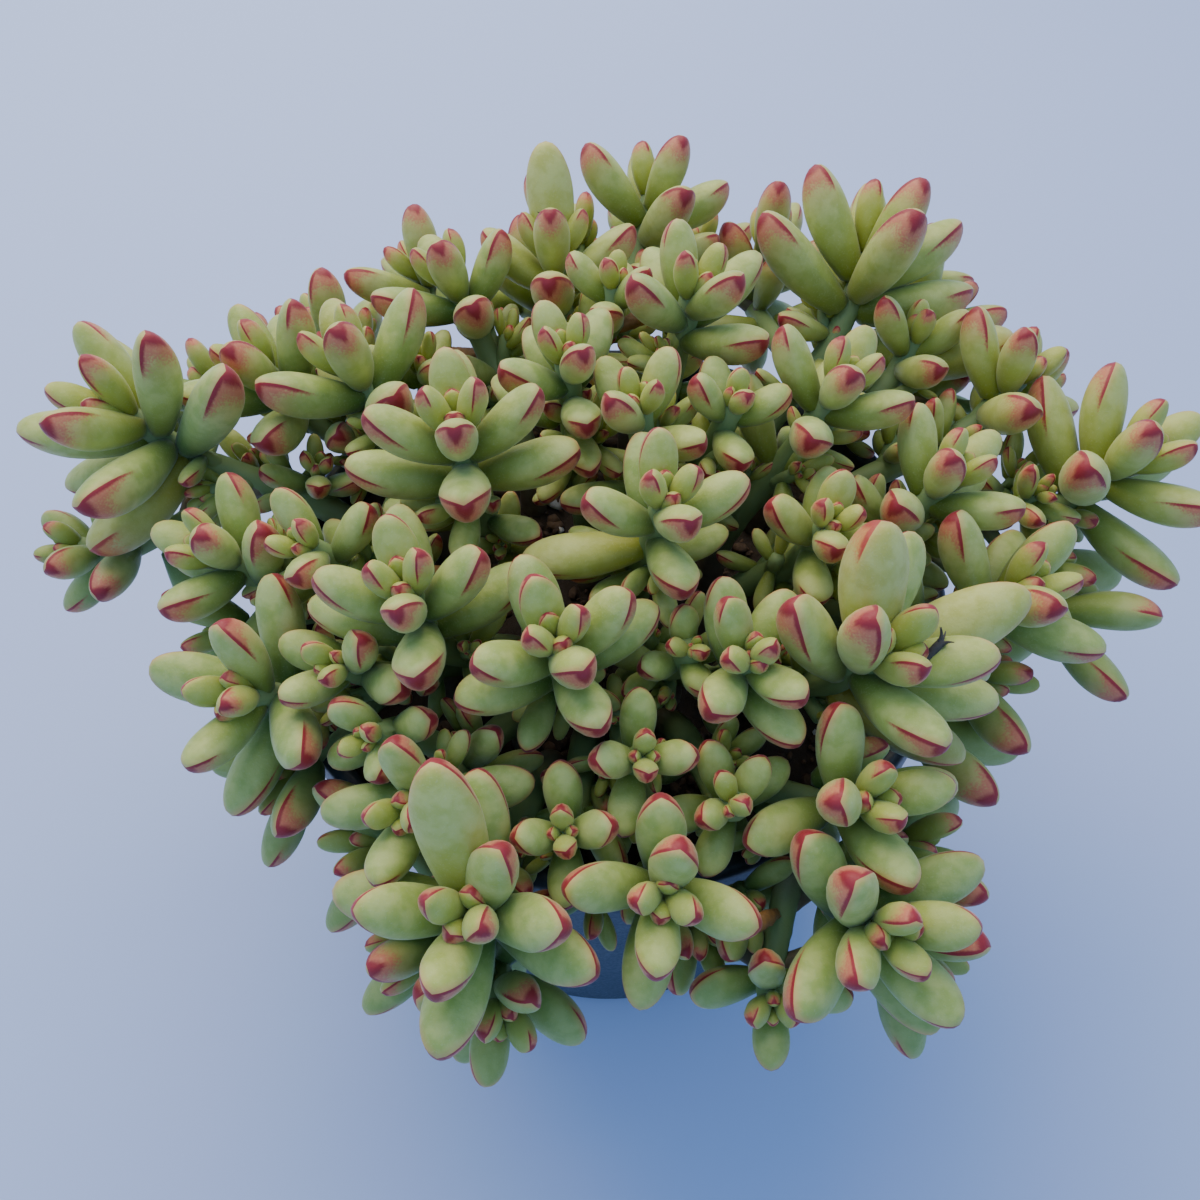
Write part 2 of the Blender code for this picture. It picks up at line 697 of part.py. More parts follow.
def make_shoots(heads, leaves, shift, grow, length, kept, collection):
    green = principled("crassula leaf", LEAF_COLOUR, 0.5)
    towards = inward(leaves, heads, grow)
    crowns = np.array([head[1] for head in heads]) + shift
    base = crowns[leaves["head"]] + leaves["offset"]
    radius = leaves["radius"] * length / leaves["length"]
    for stem in range(len(STEMS)):
        pieces = new_collection(f"pieces of stem {stem + 1}")
        for index, (owner, crown, axis, path) in enumerate(heads):
            if owner != stem:
                continue
            moved = (*path[:2], path[2] + shift[index], path[3] + shift[index])
            top = crown + shift[index]
            if rooted(path):
                root = path[0] * (1, 1, 0) + (0, 0, (SOIL_TOP - HOLE_DEPTH) / MM)
                places = [root, *bezier(*moved, np.linspace(0, 1, STEM_STEPS + 1)), top]
                stem_object(places, STEM_RADIUS, TIP_STEM_RADIUS, pieces)
                stubs = [stub[1:] for stub in STUBS if stub[0] == stem]
                for showing, end in stubs:
                    places = [top - axis * STUB_SINK, top + showing, top + end]
                    stem_object(places, STUB_RADIUS, STUB_RADIUS, pieces)
            else:
                places = [moved[0], moved[3], top]
                stem_object(places, TIP_STEM_RADIUS, TIP_STEM_RADIUS, pieces)
        for i in np.nonzero(kept & (leaves["stem"] == stem))[0]:
            rings = LONE_RINGS if leaves["age"][i] == LONE_AGE else LEAF_RINGS
            leaf_object(base[i], grow[i], towards[i], length[i], radius[i], rings, pieces)
        fuse(f"leafy_stem_{stem + 1:02d}", pieces, collection, green)


def main():
    for found in list(bpy.data.objects):
        bpy.data.objects.remove(found)
    plant = new_collection("potted crassula")
    heads, leaves = lay_out()
    shift, grow = settle(heads, leaves)
    length, kept = trim(heads, leaves, shift, grow)
    make_pot(plant)
    make_soil(heads, plant)
    make_shoots(heads, leaves, shift, grow, length, kept, plant)
    for made in plant.objects:
        made.data.shade_smooth()
        made.data.set_sharp_from_angle(angle=math.radians(35))


if __name__ == "__main__":
    main()
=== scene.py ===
"""The looks of the potted crassula: fine leaves, buds and stems, the pot, its mix and the studio.

Metres, +Z up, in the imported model's frame. The plant is laid out as the model's source lays it
out, in millimetres, so each fine leaf lies where the model's leaf lies. What the model leaves to
this script comes after that: small inner pairs, older leaves lower down the stems, side shoots
inside the mound, dried leaves, and the crumbs of the mix.
"""

import math

import bmesh
import bpy
import numpy as np
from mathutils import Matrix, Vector


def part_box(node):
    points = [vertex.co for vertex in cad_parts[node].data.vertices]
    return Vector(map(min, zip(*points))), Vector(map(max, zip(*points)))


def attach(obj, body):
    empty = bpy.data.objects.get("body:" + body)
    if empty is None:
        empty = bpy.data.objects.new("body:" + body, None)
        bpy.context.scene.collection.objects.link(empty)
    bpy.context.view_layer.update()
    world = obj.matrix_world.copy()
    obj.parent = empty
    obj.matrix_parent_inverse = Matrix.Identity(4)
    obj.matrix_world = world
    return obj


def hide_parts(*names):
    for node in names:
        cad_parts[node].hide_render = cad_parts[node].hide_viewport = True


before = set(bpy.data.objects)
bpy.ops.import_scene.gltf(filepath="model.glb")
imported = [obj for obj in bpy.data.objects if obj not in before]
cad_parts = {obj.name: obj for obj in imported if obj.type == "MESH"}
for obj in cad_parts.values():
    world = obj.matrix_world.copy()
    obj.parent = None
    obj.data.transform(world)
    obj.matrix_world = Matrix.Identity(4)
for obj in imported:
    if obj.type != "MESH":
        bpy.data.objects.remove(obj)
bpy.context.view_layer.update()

MM = 0.001

# The pot and the mix, in millimetres, from the frame.
POT_LOW, POT_TOP = (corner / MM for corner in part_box("pot"))
SOIL_LOW, SOIL_CORNER = (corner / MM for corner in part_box("potting_mix"))
RIM_RADIUS = POT_TOP.x
POT_HEIGHT = POT_TOP.z
LIP_HEIGHT = 11
LIP_OUT = 2.5
BASE_RADIUS = 50
LIP_EDGE = 1.2
LIP_TAPER = 0.4
WALL = 1.6
RECESS = 3
FOOT_WIDTH = 5
FOOT_EDGE = 2
CENTRE_RADIUS = 22
FLOOR_EDGE = 3
POT_SIDES = 144
DRAIN_HOLES = 8
DRAIN_RADIUS = 4.5
DRAIN_RING = 36
SOIL_CROWN = 3
SOIL_TOP = SOIL_CORNER.z - SOIL_CROWN

# Stems and leaves, in millimetres and degrees.
STEM_RADIUS = 3.0
TIP_STEM_RADIUS = 2.4
STEM_RISE = 0.42
STEM_NECK = 0.36
FORK = 2 / 3
OVER_RIM = 123
ROOT_SPREAD = 0.5
CROWN_DEPTH = 1.5
INTERNODE = 3.1
PAIR_STEP = 0.35
LEAF_INSET = 0.6
INNER_ANGLE = 20
LEAF_WIDTH = 0.45
LEAF_THICKNESS = 0.42
USUAL_LEAF = 20
SLIMMER = 0.4
NECK = 0.46
WIDEST = 0.6
TIP_POWER = 0.6
INNER_LENGTH = 0.56
INNER_WIDTH = 0.62
LEAF_BEND = 0.14
LONE_AGE = 1.2
STUB_RADIUS = 0.95

# How leaves press each other apart: millimetres and degrees, probes as shares of a leaf's length,
# and gains a step.
CLEARANCE = 0.75
PROBES = np.array((0.26, 0.42, 0.58, 0.74, 0.9))
PROBE_REACH = 0.62
NEAR = 3
WALL_BAND = 8
OVER_SOIL = 5
MOST_TURN = 38
MOST_SHIFT = 3.0
SETTLE_STEPS = 160
STEPS_A_SEARCH = 10
MOST_TURN_A_STEP = 0.12
TURN_GAIN = 0.6
RETURN_GAIN = 0.03
SWAY_GAIN = 0.06
SWAY_RETURN = 0.02
TRIM_STEPS = 14
TIGHT = 0.35
TRIM = 0.95
SHORTEST_LEAF = 0.62

# One line for each stem, and one row for each head on it, the first at the top of the stem:
# crown x, y, z in mm, lean and the bearing it leans to, roll of the lowest pair, leaf length
# in mm, how far the lowest pair opens, and the number of pairs.
STEMS = (
    ((-12, 62, 147, 32, 95, 90, 22, 68, 4), (1, 42, 156, 18, 80, 80, 14, 62, 3)),
    ((10, 85, 146, 46, 75, 110, 23, 66, 4), (-22, 84, 122, 68, 110, 20, 21, 70, 3)),
    ((57, 63, 147, 45, 60, 15, 29, 66, 5), (38, 88, 120, 70, 70, 60, 22, 70, 3)),
    ((-34, 56, 145, 36, 135, 105, 21, 69, 4),),
    ((-8, 13, 163, 6, 120, 120, 17, 66, 4),),
    ((5, 3, 160, 5, 150, 140, 16, 64, 3),),
    ((16, 33, 161, 14, 40, 125, 21, 64, 4),),
    ((-96, 18, 143, 38, 180, 0, 30, 74, 5), (-112, 5, 117, 60, 190, 40, 16, 70, 3)),
    ((-71, 31, 142, 34, 165, 100, 23, 69, 4),),
    ((-52, 26, 148, 32, 145, 120, 24, 70, 4),),
    ((-27, -5, 163, 3, 180, 8, 22, 70, 5),),
    ((9, -22, 163, 10, -30, 105, 18, 68, 4),),
    ((23, 7, 157, 15, 0, 95, 14, 66, 3),),
    ((43, 12, 157, 25, 20, 70, 19, 66, 4),),
    ((66, 46, 138, 34, 45, 100, 17, 66, 3), (78, 60, 116, 65, 45, 30, 20, 70, 3)),
    ((86, 34, 138, 46, 32, 85, 21, 67, 4),),
    ((104, 12, 136, 34, 5, 125, 26, 75, 5),),
    ((63, -3, 148, 28, 15, 45, 19, 66, 4),),
    ((75, -21, 137, 34, -5, 60, 23, 76, 4),),
    ((39, -17, 151, 18, -50, 80, 15, 64, 4),),
    ((44, -45, 150, 28, -30, 170, 26, 72, 4),),
    ((23, -47, 153, 20, -60, 130, 17, 66, 4),),
    ((14, -41, 147, 22, -50, 20, 10, 60, 3),),
    ((-9, -46, 156, 12, -95, 25, 20, 64, 5),),
    ((-34, -36, 156, 10, -155, 10, 21, 66, 5),),
    ((5, -60, 143, 24, -70, 90, 13, 60, 3),),
    ((20, -67, 139, 26, -85, 12, 13, 60, 4), (41, -66, 139, 30, -50, 12, 21, 70, 4)),
    ((42, -85, 134, 34, -64, 125, 23, 76, 5), (26, -92, 119, 50, -95, 0, 14, 66, 3)),
    ((-22, -84, 137, 24, -105, 167, 25, 70, 5), (-18, -92, 116, 63, -80, 65, 18, 72, 4)),
    ((-8, -71, 138, 24, -98, 92, 13, 60, 3),),
    ((8, -81, 137, 34, -90, 80, 20, 68, 4),),
    ((-33, -67, 138, 44, -115, 0, 18, 70, 3), (-41, -54, 139, 46, -125, 30, 12, 62, 3)),
    ((-64, -43, 135, 42, -135, 75, 23, 70, 4),),
    ((-74, -14, 139, 38, -175, 155, 19, 62, 4),),
    ((-55, -19, 147, 32, -155, 22, 15, 66, 3),),
    ((-47, -42, 143, 34, -140, 150, 15, 64, 3),),
    ((-66, 58, 128, 56, 140, 50, 21, 70, 3),),
)

# Old leaves that outgrew their pairs: stem, how far below its top crown in mm, lean and bearing,
# length and width in mm.
LONE_LEAVES = (
    (0, 4, 33, 92, 27, 10.5),
    (14, 8, 74, 15, 27, 11.5),
    (20, 3, 32, 85, 25, 12.5),
    (20, 13, 78, 12, 36, 12.5),
    (20, 17, 96, -20, 28, 9.5),
    (7, 16, 98, -128, 28, 12),
    (11, 14, 94, 185, 23, 9.5),
    (28, 5, 40, 88, 30, 11.5),
)

# Dried stalks of old flowers: stem, and where the stub shows and ends from the top crown, in mm.
STUBS = (
    (0, (0.5, -2.2, -0.4), (-1.3, 2.3, 7.9)),
    (20, (2.8, -4.8, -1.0), (9.0, -0.3, 4.7)),
)

# What the model leaves out. Bud pairs are shares of the head's leaf length, with their lean.
BUD_PAIRS = ((0.36, 13), (0.22, 9), (0.12, 6))
BUD_WIDTH = 0.56
LOWER_PAIRS = (4.5, 10.5)
LOWER_LENGTH = 0.88
SIDE_SHOOTS = ((0.5, 0.8, 60), (0.68, 0.95, 200), (0.82, 0.9, 320))
SIDE_LENGTH = 12.5
SIDE_REACH = 12
SIDE_PAIRS = 3
EXTRA_STEPS = 70
LOWER_AGE = 1.05
# Small shoots that close the mound's edge and hang over the rim: crown in mm, then lean, bearing
# and roll, then leaf length in mm, how far the lowest pair opens, and the number of pairs.
SHOOTS = (
    ((88, -2, 118), (72, -22, 10), (24, 60, 2)),
    ((72, -26, 116), (70, -20, 60), (22, 62, 2)),
    ((60, -37, 112), (78, -30, 0), (22, 55, 1)),
    ((90, -11, 115), (76, -30, 50), (22, 50, 1)),
    ((-4, -73, 116), (66, -95, 20), (17, 60, 2)),
    ((8, -76, 115), (72, -90, 80), (18, 55, 1)),
    ((15, -77, 113), (74, -80, 10), (19, 60, 2)),
    ((23, -74, 118), (50, -85, 50), (17, 62, 2)),
    ((-74, -17, 120), (70, 195, 30), (21, 62, 2)),
    ((-60, -46, 115), (70, 215, 20), (21, 64, 3)),
    ((-42, -62, 115), (68, 205, 70), (20, 60, 2)),
    ((-30, -80, 114), (72, 210, 30), (21, 60, 2)),
    ((52, -63, 117), (68, -10, 30), (22, 62, 2)),
    ((50, -80, 113), (72, -50, 80), (21, 60, 2)),
    ((-7, 88, 130), (56, 88, 20), (22, 55, 2)),
    ((37, 84, 131), (58, 80, 70), (20, 60, 2)),
    ((74, 62, 127), (72, 30, 20), (24, 58, 2)),
    ((90, 42, 125), (66, 45, 60), (20, 60, 2)),
    ((-42, 72, 132), (58, 118, 30), (21, 62, 3)),
    ((-88, 46, 124), (66, 130, 20), (21, 60, 2)),
    ((-39, 35, 140), (8, 90, 30), (15, 64, 3)),
    ((-102, 40, 120), (66, 125, 60), (20, 60, 2)),
    ((22, 88, 128), (58, 80, 30), (18, 60, 2)),
    ((69, 82, 126), (66, 60, 10), (20, 60, 2)),
    ((-76, 23, 122), (24, 180, 40), (15, 64, 3)),
    ((-60, 17, 130), (10, 0, 10), (14, 64, 3)),
    ((86, 18, 126), (22, 0, 20), (15, 64, 3)),
)
DRY_SHARE = 0.12
# Grains on the mix: how many, and their radii in mm.
CRUMBS = 1500
CRUMB_RADII = (0.5, 2.2)
PALE_SHARE = 0.06

# Rings along and sides around a leaf, from the smallest leaf, in mm, that has them.
FINE_GRIDS = ((14, 18, 22), (8, 12, 15), (0, 9, 12))
# A fine leaf's section: how far its face stands from its margin, at the foot and at the tip, and
# how flat it is there, then the ridges of its margin and its back, all in greatest radii.
FACE = 0.9
TIP_FACE = 0.45
FACE_FLATNESS = 0.5
RIDGE = 0.02
KEEL = 0.03
TIP_HOOK = 0.06
FINE_TIP_POWER = 0.52
TIP_CROWDING = 1.35
LEAF_SWAY = 0.025
PLUMPNESS = (0.88, 0.96)
# How yellow a head is, and how much more for each mm to the right and to the back.
TONE = 0.38
TONE_SLOPE = (0.0022, 0.0028)
STEM_SIDES = 14
STEM_RINGS = 22
SEED = 20

# The studio, in metres and degrees. The camera looks along +Y from above.
SKY_COLOUR = (0.36, 0.58, 1.0, 1)
SKY_STRENGTH = 1.1
KEY_COLOUR = (1.0, 0.85, 0.62)
KEY_POWER = 12.5
KEY_SIZE = 1.0
KEY_PLACE = (-0.2, 0.5, 0.8)
LENS = 38.6
SENSOR = 36
CAMERA_RISE = 53.5
CAMERA_TARGET = (-0.002, -0.006, 0.113)
CAMERA_REACH = 0.265
FLOOR_COLOURS = ((0.44, 0.54, 0.80, 1), (0.47, 0.56, 0.81, 1))


def unit(v):
    return v / np.linalg.norm(v, axis=-1, keepdims=True)


def leaning(lean, bearing):
    """The unit vector at this lean from +Z, towards this bearing from +X."""
    lean, bearing = math.radians(lean), math.radians(bearing)
    flat = math.sin(lean)
    return np.array((flat * math.cos(bearing), flat * math.sin(bearing), math.cos(lean)))


def across(axis):
    """Two unit vectors square to the axis, the first of them as near to +X as it can be."""
    first = unit(np.array((1.0, 0.0, 0.0)) - axis[0] * axis)
    return first, np.cross(axis, first)


def leaf_radius(s, power=TIP_POWER):
    """A leaf's radius over its greatest one, from its neck at s = 0 to its tip at s = 1."""
    s = np.asarray(s, float)
    neck = NECK + (1 - NECK) * np.sin(np.clip(s / WIDEST, 0, 1) * math.pi / 2)
    tip = (1 - np.clip((s - WIDEST) / (1 - WIDEST), 0, 1) ** 2) ** power
    return neck * tip


def pot_radius(z):
    """The pot's outer radius in mm at a height in mm, with its lip."""
    taper = BASE_RADIUS + (RIM_RADIUS - LIP_OUT - BASE_RADIUS) * z / POT_HEIGHT
    return np.where(z > POT_HEIGHT - LIP_HEIGHT, RIM_RADIUS, taper)


def bezier(p0, p1, p2, p3, t):
    t = np.asarray(t, float)[..., None]
    return (1 - t) ** 3 * p0 + 3 * t * (1 - t) ** 2 * p1 + 3 * t * t * (1 - t) * p2 + t**3 * p3


def stem_path(start, foot, axis):
    """Control points of a bare stem that leaves the mix upright and passes over the pot's rim."""
    reach = np.linalg.norm(foot - start)
    rise = start + np.array((0, 0, max(reach * STEM_RISE, OVER_RIM - start[2])))
    neck = foot - axis * reach * STEM_NECK
    neck[2] = max(neck[2], min(foot[2], OVER_RIM))
    return start, rise, neck, foot


def depth_below(pairs, age):
    """How far below its crown a leaf leaves the stem, from the youngest, age 0, to the oldest."""
    return CROWN_DEPTH + age * INTERNODE * (pairs - 1)


def leaves_of(rows):
    rows = np.array(rows)
    return {
        "head": rows[:, 0].astype(int),
        "stem": rows[:, 1].astype(int),
        "age": rows[:, 2],
        "length": rows[:, 3],
        "radius": rows[:, 4] * (LEAF_WIDTH + LEAF_THICKNESS) / 4,
        "offset": rows[:, 5:8],
        "grow": rows[:, 8:11],
    }


def lay_out():
    """The heads, as (stem, crown, axis, stem path), and the leaves as arrays of one row each."""
    heads = []
    rows = []
    for stem, group in enumerate(STEMS):
        for place, (x, y, z, lean, bearing, roll, length, opening, pairs) in enumerate(group):
            crown = np.array((x, y, z), float)
            axis = leaning(lean, bearing)
            foot = crown - axis * (depth_below(pairs, 1) + CROWN_DEPTH)
            if place == 0:
                collar = SOIL_TOP + SOIL_CROWN + 1
                main = stem_path(np.array((x * ROOT_SPREAD, y * ROOT_SPREAD, collar)), foot, axis)
                path = main
            else:
                fork = bezier(*main, FORK)
                path = (fork, fork * 2 / 3 + foot / 3, fork / 3 + foot * 2 / 3, foot)
            first, second = across(axis)
            stout = length * (USUAL_LEAF / length) ** SLIMMER
            for pair in range(pairs):
                age = 1 - pair / (pairs - 1)
                tilt = math.radians(INNER_ANGLE + (opening - INNER_ANGLE) * age**0.9)
                size = length * (1 - (1 - INNER_LENGTH) * (1 - age) ** 2.5)
                width = stout * (1 - (1 - INNER_WIDTH) * (1 - age) ** 3)
                for side in (0, 180):
                    turn = math.radians(roll + 90 * pair + side)
                    out = math.cos(turn) * first + math.sin(turn) * second
                    drop = depth_below(pairs, age) + PAIR_STEP * (side > 0)
                    grow = math.cos(tilt) * axis + math.sin(tilt) * out
                    offset = out * LEAF_INSET - axis * drop
                    rows.append((len(heads), stem, age, size, width, *offset, *grow))
            heads.append((stem, crown, axis, path))
    tops = {head[0]: index for index, head in reversed(list(enumerate(heads)))}
    for stem, drop, lean, bearing, length, width in LONE_LEAVES:
        axis = heads[tops[stem]][2]
        grow = leaning(lean, bearing)
        rows.append((tops[stem], stem, LONE_AGE, length, width / LEAF_WIDTH, *(-axis * drop), *grow))
    return heads, leaves_of(rows)


def inward(leaves, heads, grow):
    """Each leaf's unit vector square to its length, on the side that faces the head's axis."""
    axis = np.array([head[2] for head in heads])[leaves["head"]]
    return unit(axis - (axis * grow).sum(1, keepdims=True) * grow)


def points_on(base, grow, towards, length, s):
    """Points at the fractions s of each leaf's gently curved middle line."""
    s = s[None, :, None]
    length = length[:, None, None]
    straight = grow[:, None] * s
    bow = towards[:, None] * (LEAF_BEND * s * (1 - s))
    return base[:, None] + length * (straight - bow)


def near_pairs(middle, reach):
    """Pairs of leaves that are close enough to touch, each pair once."""
    gap = np.linalg.norm(middle[:, None] - middle[None], axis=2)
    first, second = np.nonzero(gap < reach[:, None] + reach[None] + NEAR)
    once = first < second
    return first[once], second[once]


def overlaps(points, radius, first, second, leaves):
    """How deep each pair's probes sink into each other, and the direction that parts them."""
    apart = points[first][:, :, None] - points[second][:, None]
    gap = np.linalg.norm(apart, axis=3)
    wanted = radius[first][:, :, None] + radius[second][:, None] + CLEARANCE
    depth = np.maximum(wanted - gap, 0)
    # The leaves of one head meet at their necks, so only their outer parts are kept apart.
    same = leaves["head"][first] == leaves["head"][second]
    depth[same, :2, :] = 0
    depth[same, :, :2] = 0
    return depth, apart / np.maximum(gap, 1e-6)[..., None]


def stem_probes(heads):
    """Points down the bare part of every stem, with the stem that each belongs to."""
    t = np.linspace(0.05, 0.97, 14)
    points = np.array([bezier(*head[3], t) for head in heads])
    owner = np.repeat([head[0] for head in heads], len(t))
    return points.reshape(-1, 3), owner


def near_stems(middle, reach, leaves, heads):
    """Pairs of a leaf and a stem probe that are close and belong to different stems."""
    stem_points, stem_owner = stem_probes(heads)
    gap = np.linalg.norm(middle[:, None] - stem_points[None], axis=2)
    near = gap < reach[:, None] + STEM_RADIUS + NEAR
    return np.nonzero(near & (leaves["stem"][:, None] != stem_owner[None]))


def stem_overlaps(points, radius, leaf_index, stem_points):
    """How deep each leaf's probes sink into the stem probes near it."""
    apart = points[leaf_index] - stem_points[:, None]
    gap = np.linalg.norm(apart, axis=2)
    return apart, gap, np.maximum(radius[leaf_index] + STEM_RADIUS + CLEARANCE - gap, 0)


def pot_push(points, radius):
    """Moves that take probes out of the pot's wall and off the potting mix."""
    flat = np.linalg.norm(points[..., :2], axis=-1)
    z = points[..., 2]
    reach = radius + CLEARANCE
    outer = pot_radius(z)
    push = np.zeros_like(points)
    up = POT_HEIGHT + reach - z
    out = outer + reach - flat
    at_wall = (up > 0) & (out > 0) & (flat > RIM_RADIUS - WALL_BAND - reach)
    lift = at_wall & (up <= out)
    push[..., 2] = np.where(lift, up, 0)
    aside = np.where(at_wall & ~lift, out, 0) / np.maximum(flat, 1e-6)
    push[..., :2] += points[..., :2] * aside[..., None]
    over_soil = flat <= RIM_RADIUS - WALL_BAND - reach
    push[..., 2] += np.where(over_soil, np.maximum(SOIL_TOP + OVER_SOIL + reach - z, 0), 0)
    return push


def settle(heads, leaves, free, steps):
    """Turns the free leaves, and shifts their heads a little, until they press no more."""
    stem_points, _ = stem_probes(heads)
    crowns = np.array([head[1] for head in heads])
    shift = np.zeros_like(crowns)
    start = leaves["grow"].copy()
    grow = start.copy()
    length = leaves["length"].copy()
    head = leaves["head"]
    least_cos = math.cos(math.radians(MOST_TURN))
    radius = leaves["radius"][:, None] * leaf_radius(PROBES)
    lever = length[:, None] * PROBES
    for step in range(steps):
        base = crowns[head] + shift[head] + leaves["offset"]
        points = points_on(base, grow, inward(leaves, heads, grow), length, PROBES)
        if step % STEPS_A_SEARCH == 0:
            first, second = near_pairs(points[:, 2], length * PROBE_REACH)
            touched = free[first] | free[second]
            first, second = first[touched], second[touched]
            leaf_index, stem_index = near_stems(points[:, 2], length * PROBE_REACH, leaves, heads)
        depth, away = overlaps(points, radius, first, second, leaves)
        move = depth[..., None] * away * 0.5
        push = np.zeros_like(points)
        np.add.at(push, first, move.sum(2))
        np.add.at(push, second, -move.sum(1))
        apart, gap, sunk = stem_overlaps(points, radius, leaf_index, stem_points[stem_index])
        np.add.at(push, leaf_index, apart * (sunk / np.maximum(gap, 1e-6))[..., None])
        push += pot_push(points, radius)
        push *= free[:, None, None]
        turn = (push / lever[..., None]).sum(1)
        turn -= (turn * grow).sum(1, keepdims=True) * grow
        size = np.linalg.norm(turn, axis=1, keepdims=True)
        turn *= np.minimum(1, MOST_TURN_A_STEP / np.maximum(size, 1e-9)) * TURN_GAIN
        grow = unit(grow + turn + RETURN_GAIN * (start - grow))
        far = (grow * start).sum(1) < least_cos
        side = unit(grow - (grow * start).sum(1, keepdims=True) * start + 1e-12)
        limit = least_cos * start + math.sqrt(1 - least_cos**2) * side
        grow[far] = limit[far]
        sway = np.zeros_like(shift)
        np.add.at(sway, head, push.mean(1))
        shift += SWAY_GAIN * sway - SWAY_RETURN * shift
        far = np.linalg.norm(shift, axis=1)
        shift *= np.minimum(1, MOST_SHIFT / np.maximum(far, 1e-9))[:, None]
    return shift, grow


def trim(heads, leaves, shift, grow, free):
    """Shortens the free leaves that still press on another stem's, and drops the hopeless ones."""
    stem_points, _ = stem_probes(heads)
    crowns = np.array([head[1] for head in heads]) + shift
    base = crowns[leaves["head"]] + leaves["offset"]
    towards = inward(leaves, heads, grow)
    length = leaves["length"].copy()
    kept = np.ones(len(length), bool)
    for attempt in range(TRIM_STEPS):
        radius = (leaves["radius"] * length / leaves["length"])[:, None] * leaf_radius(PROBES)
        points = points_on(base, grow, towards, length, PROBES)
        first, second = near_pairs(points[:, 2], length * PROBE_REACH)
        depth, _ = overlaps(points, radius, first, second, leaves)
        other = leaves["stem"][first] != leaves["stem"][second]
        other |= free.any() & ~free.all() & (leaves["head"][first] != leaves["head"][second])
        deep = depth.max((1, 2)) * other * (kept[first] & kept[second])
        pressed = np.zeros(len(length))
        np.maximum.at(pressed, first, deep)
        np.maximum.at(pressed, second, deep)
        leaf_index, stem_index = near_stems(points[:, 2], length * PROBE_REACH, leaves, heads)
        _, _, sunk = stem_overlaps(points, radius, leaf_index, stem_points[stem_index])
        np.maximum.at(pressed, leaf_index, sunk.max(1))
        wall = np.linalg.norm(pot_push(points, radius), axis=2).max(1)
        pressed = np.maximum(pressed, wall) * kept
        tight = (pressed > TIGHT) & free
        if not tight.any():
            break
        length[tight] *= TRIM
        kept &= ~(tight & (length < SHORTEST_LEAF * leaves["length"]))
    return length, kept


def joined(first, second):
    return {name: np.concatenate((first[name], second[name])) for name in first}


def shoot_rows(index, stem, top, angles, size, depth):
    """Rows for a small shoot's crossed pairs, the oldest pair first."""
    axis, spin = angles
    length, opening, pairs = size
    first, second = across(axis)
    rows = []
    for pair in range(pairs):
        age = 1 - pair / max(1, pairs - 1)
        tilt = math.radians(INNER_ANGLE + (opening - INNER_ANGLE) * age**0.9)
        grown = length * (1 - (1 - INNER_LENGTH) * (1 - age) ** 2.5)
        for side in (0, 180):
            turn = math.radians(spin + 90 * pair + side)
            out = math.cos(turn) * first + math.sin(turn) * second
            grow = math.cos(tilt) * axis + math.sin(tilt) * out
            offset = out * LEAF_INSET - axis * (1 + 2.2 * age * (pairs - 1))
            rows.append((index, stem, age * 0.8, grown, grown * 0.95, *offset, *grow))
    return rows


def shoot_path(place, top, axis):
    foot = top - axis * 5
    return (place, place * 2 / 3 + foot / 3, place / 3 + foot * 2 / 3, foot)


def nearest_stem(heads, place):
    """The stem that passes nearest below a place, and the point where it does."""
    best = None
    for stem, crown, axis, path in heads:
        points = bezier(*path, np.linspace(0.3, 0.95, 14))
        far = np.linalg.norm(points - place, axis=1) + 2 * np.maximum(points[:, 2] - place[2] + 3, 0)
        if best is None or far.min() < best[0]:
            best = (far.min(), stem, points[far.argmin()])
    return best[1:]


def extra_leaves(heads, draw):
    """Leaves the model leaves out: old pairs down the bare stems, and small side shoots."""
    rows = []
    added = []
    for stem, crown, axis, path in heads:
        rooted = path[0][2] < SOIL_TOP + 2 * SOIL_CROWN
        bare = np.linalg.norm(path[3] - path[0])
        roll = draw.uniform(0, 360)
        for pair, below in enumerate(LOWER_PAIRS):
            t = 1 - below / bare
            if t < 0.45:
                continue
            place = bezier(*path, t)
            along = unit(bezier(*path, min(1, t + 0.03)) - place)
            first, second = across(along)
            length = draw.uniform(0.85, 1.05) * LOWER_LENGTH * 21
            for side in (0, 180):
                turn = math.radians(roll + 90 * pair + side)
                out = math.cos(turn) * first + math.sin(turn) * second
                grow = unit(along * draw.uniform(0.05, 0.4) + out)
                index = len(heads) + len(added)
                rows.append((index, stem, LOWER_AGE, length, length * 0.95, *(out * 1.5), *grow))
            added.append((stem, place, along, path))
        if not rooted:
            continue
        for t, size, bearing in SIDE_SHOOTS:
            place = bezier(*path, t)
            along = unit(bezier(*path, t + 0.03) - place)
            first, second = across(along)
            turn = math.radians(bearing + roll)
            out = math.cos(turn) * first + math.sin(turn) * second
            axis = unit(along * 0.75 + out * 0.6 + np.array((0, 0, 0.25)))
            length = SIDE_LENGTH * size * draw.uniform(0.85, 1.15)
            top = place + axis * SIDE_REACH * size
            shape = (length, 70, SIDE_PAIRS)
            rows += shoot_rows(len(heads) + len(added), stem, top, (axis, draw.uniform(0, 360)), shape, 0)
            added.append((stem, top, axis, shoot_path(place, top, axis)))
    for crown, (lean, bearing, roll), shape in SHOOTS:
        top = np.array(crown, float)
        axis = leaning(lean, bearing)
        stem, place = nearest_stem(heads, top - axis * 8)
        rows += shoot_rows(len(heads) + len(added), stem, top, (axis, roll), shape, 0)
        added.append((stem, top, axis, shoot_path(place, top, axis)))
    return added, leaves_of(rows)


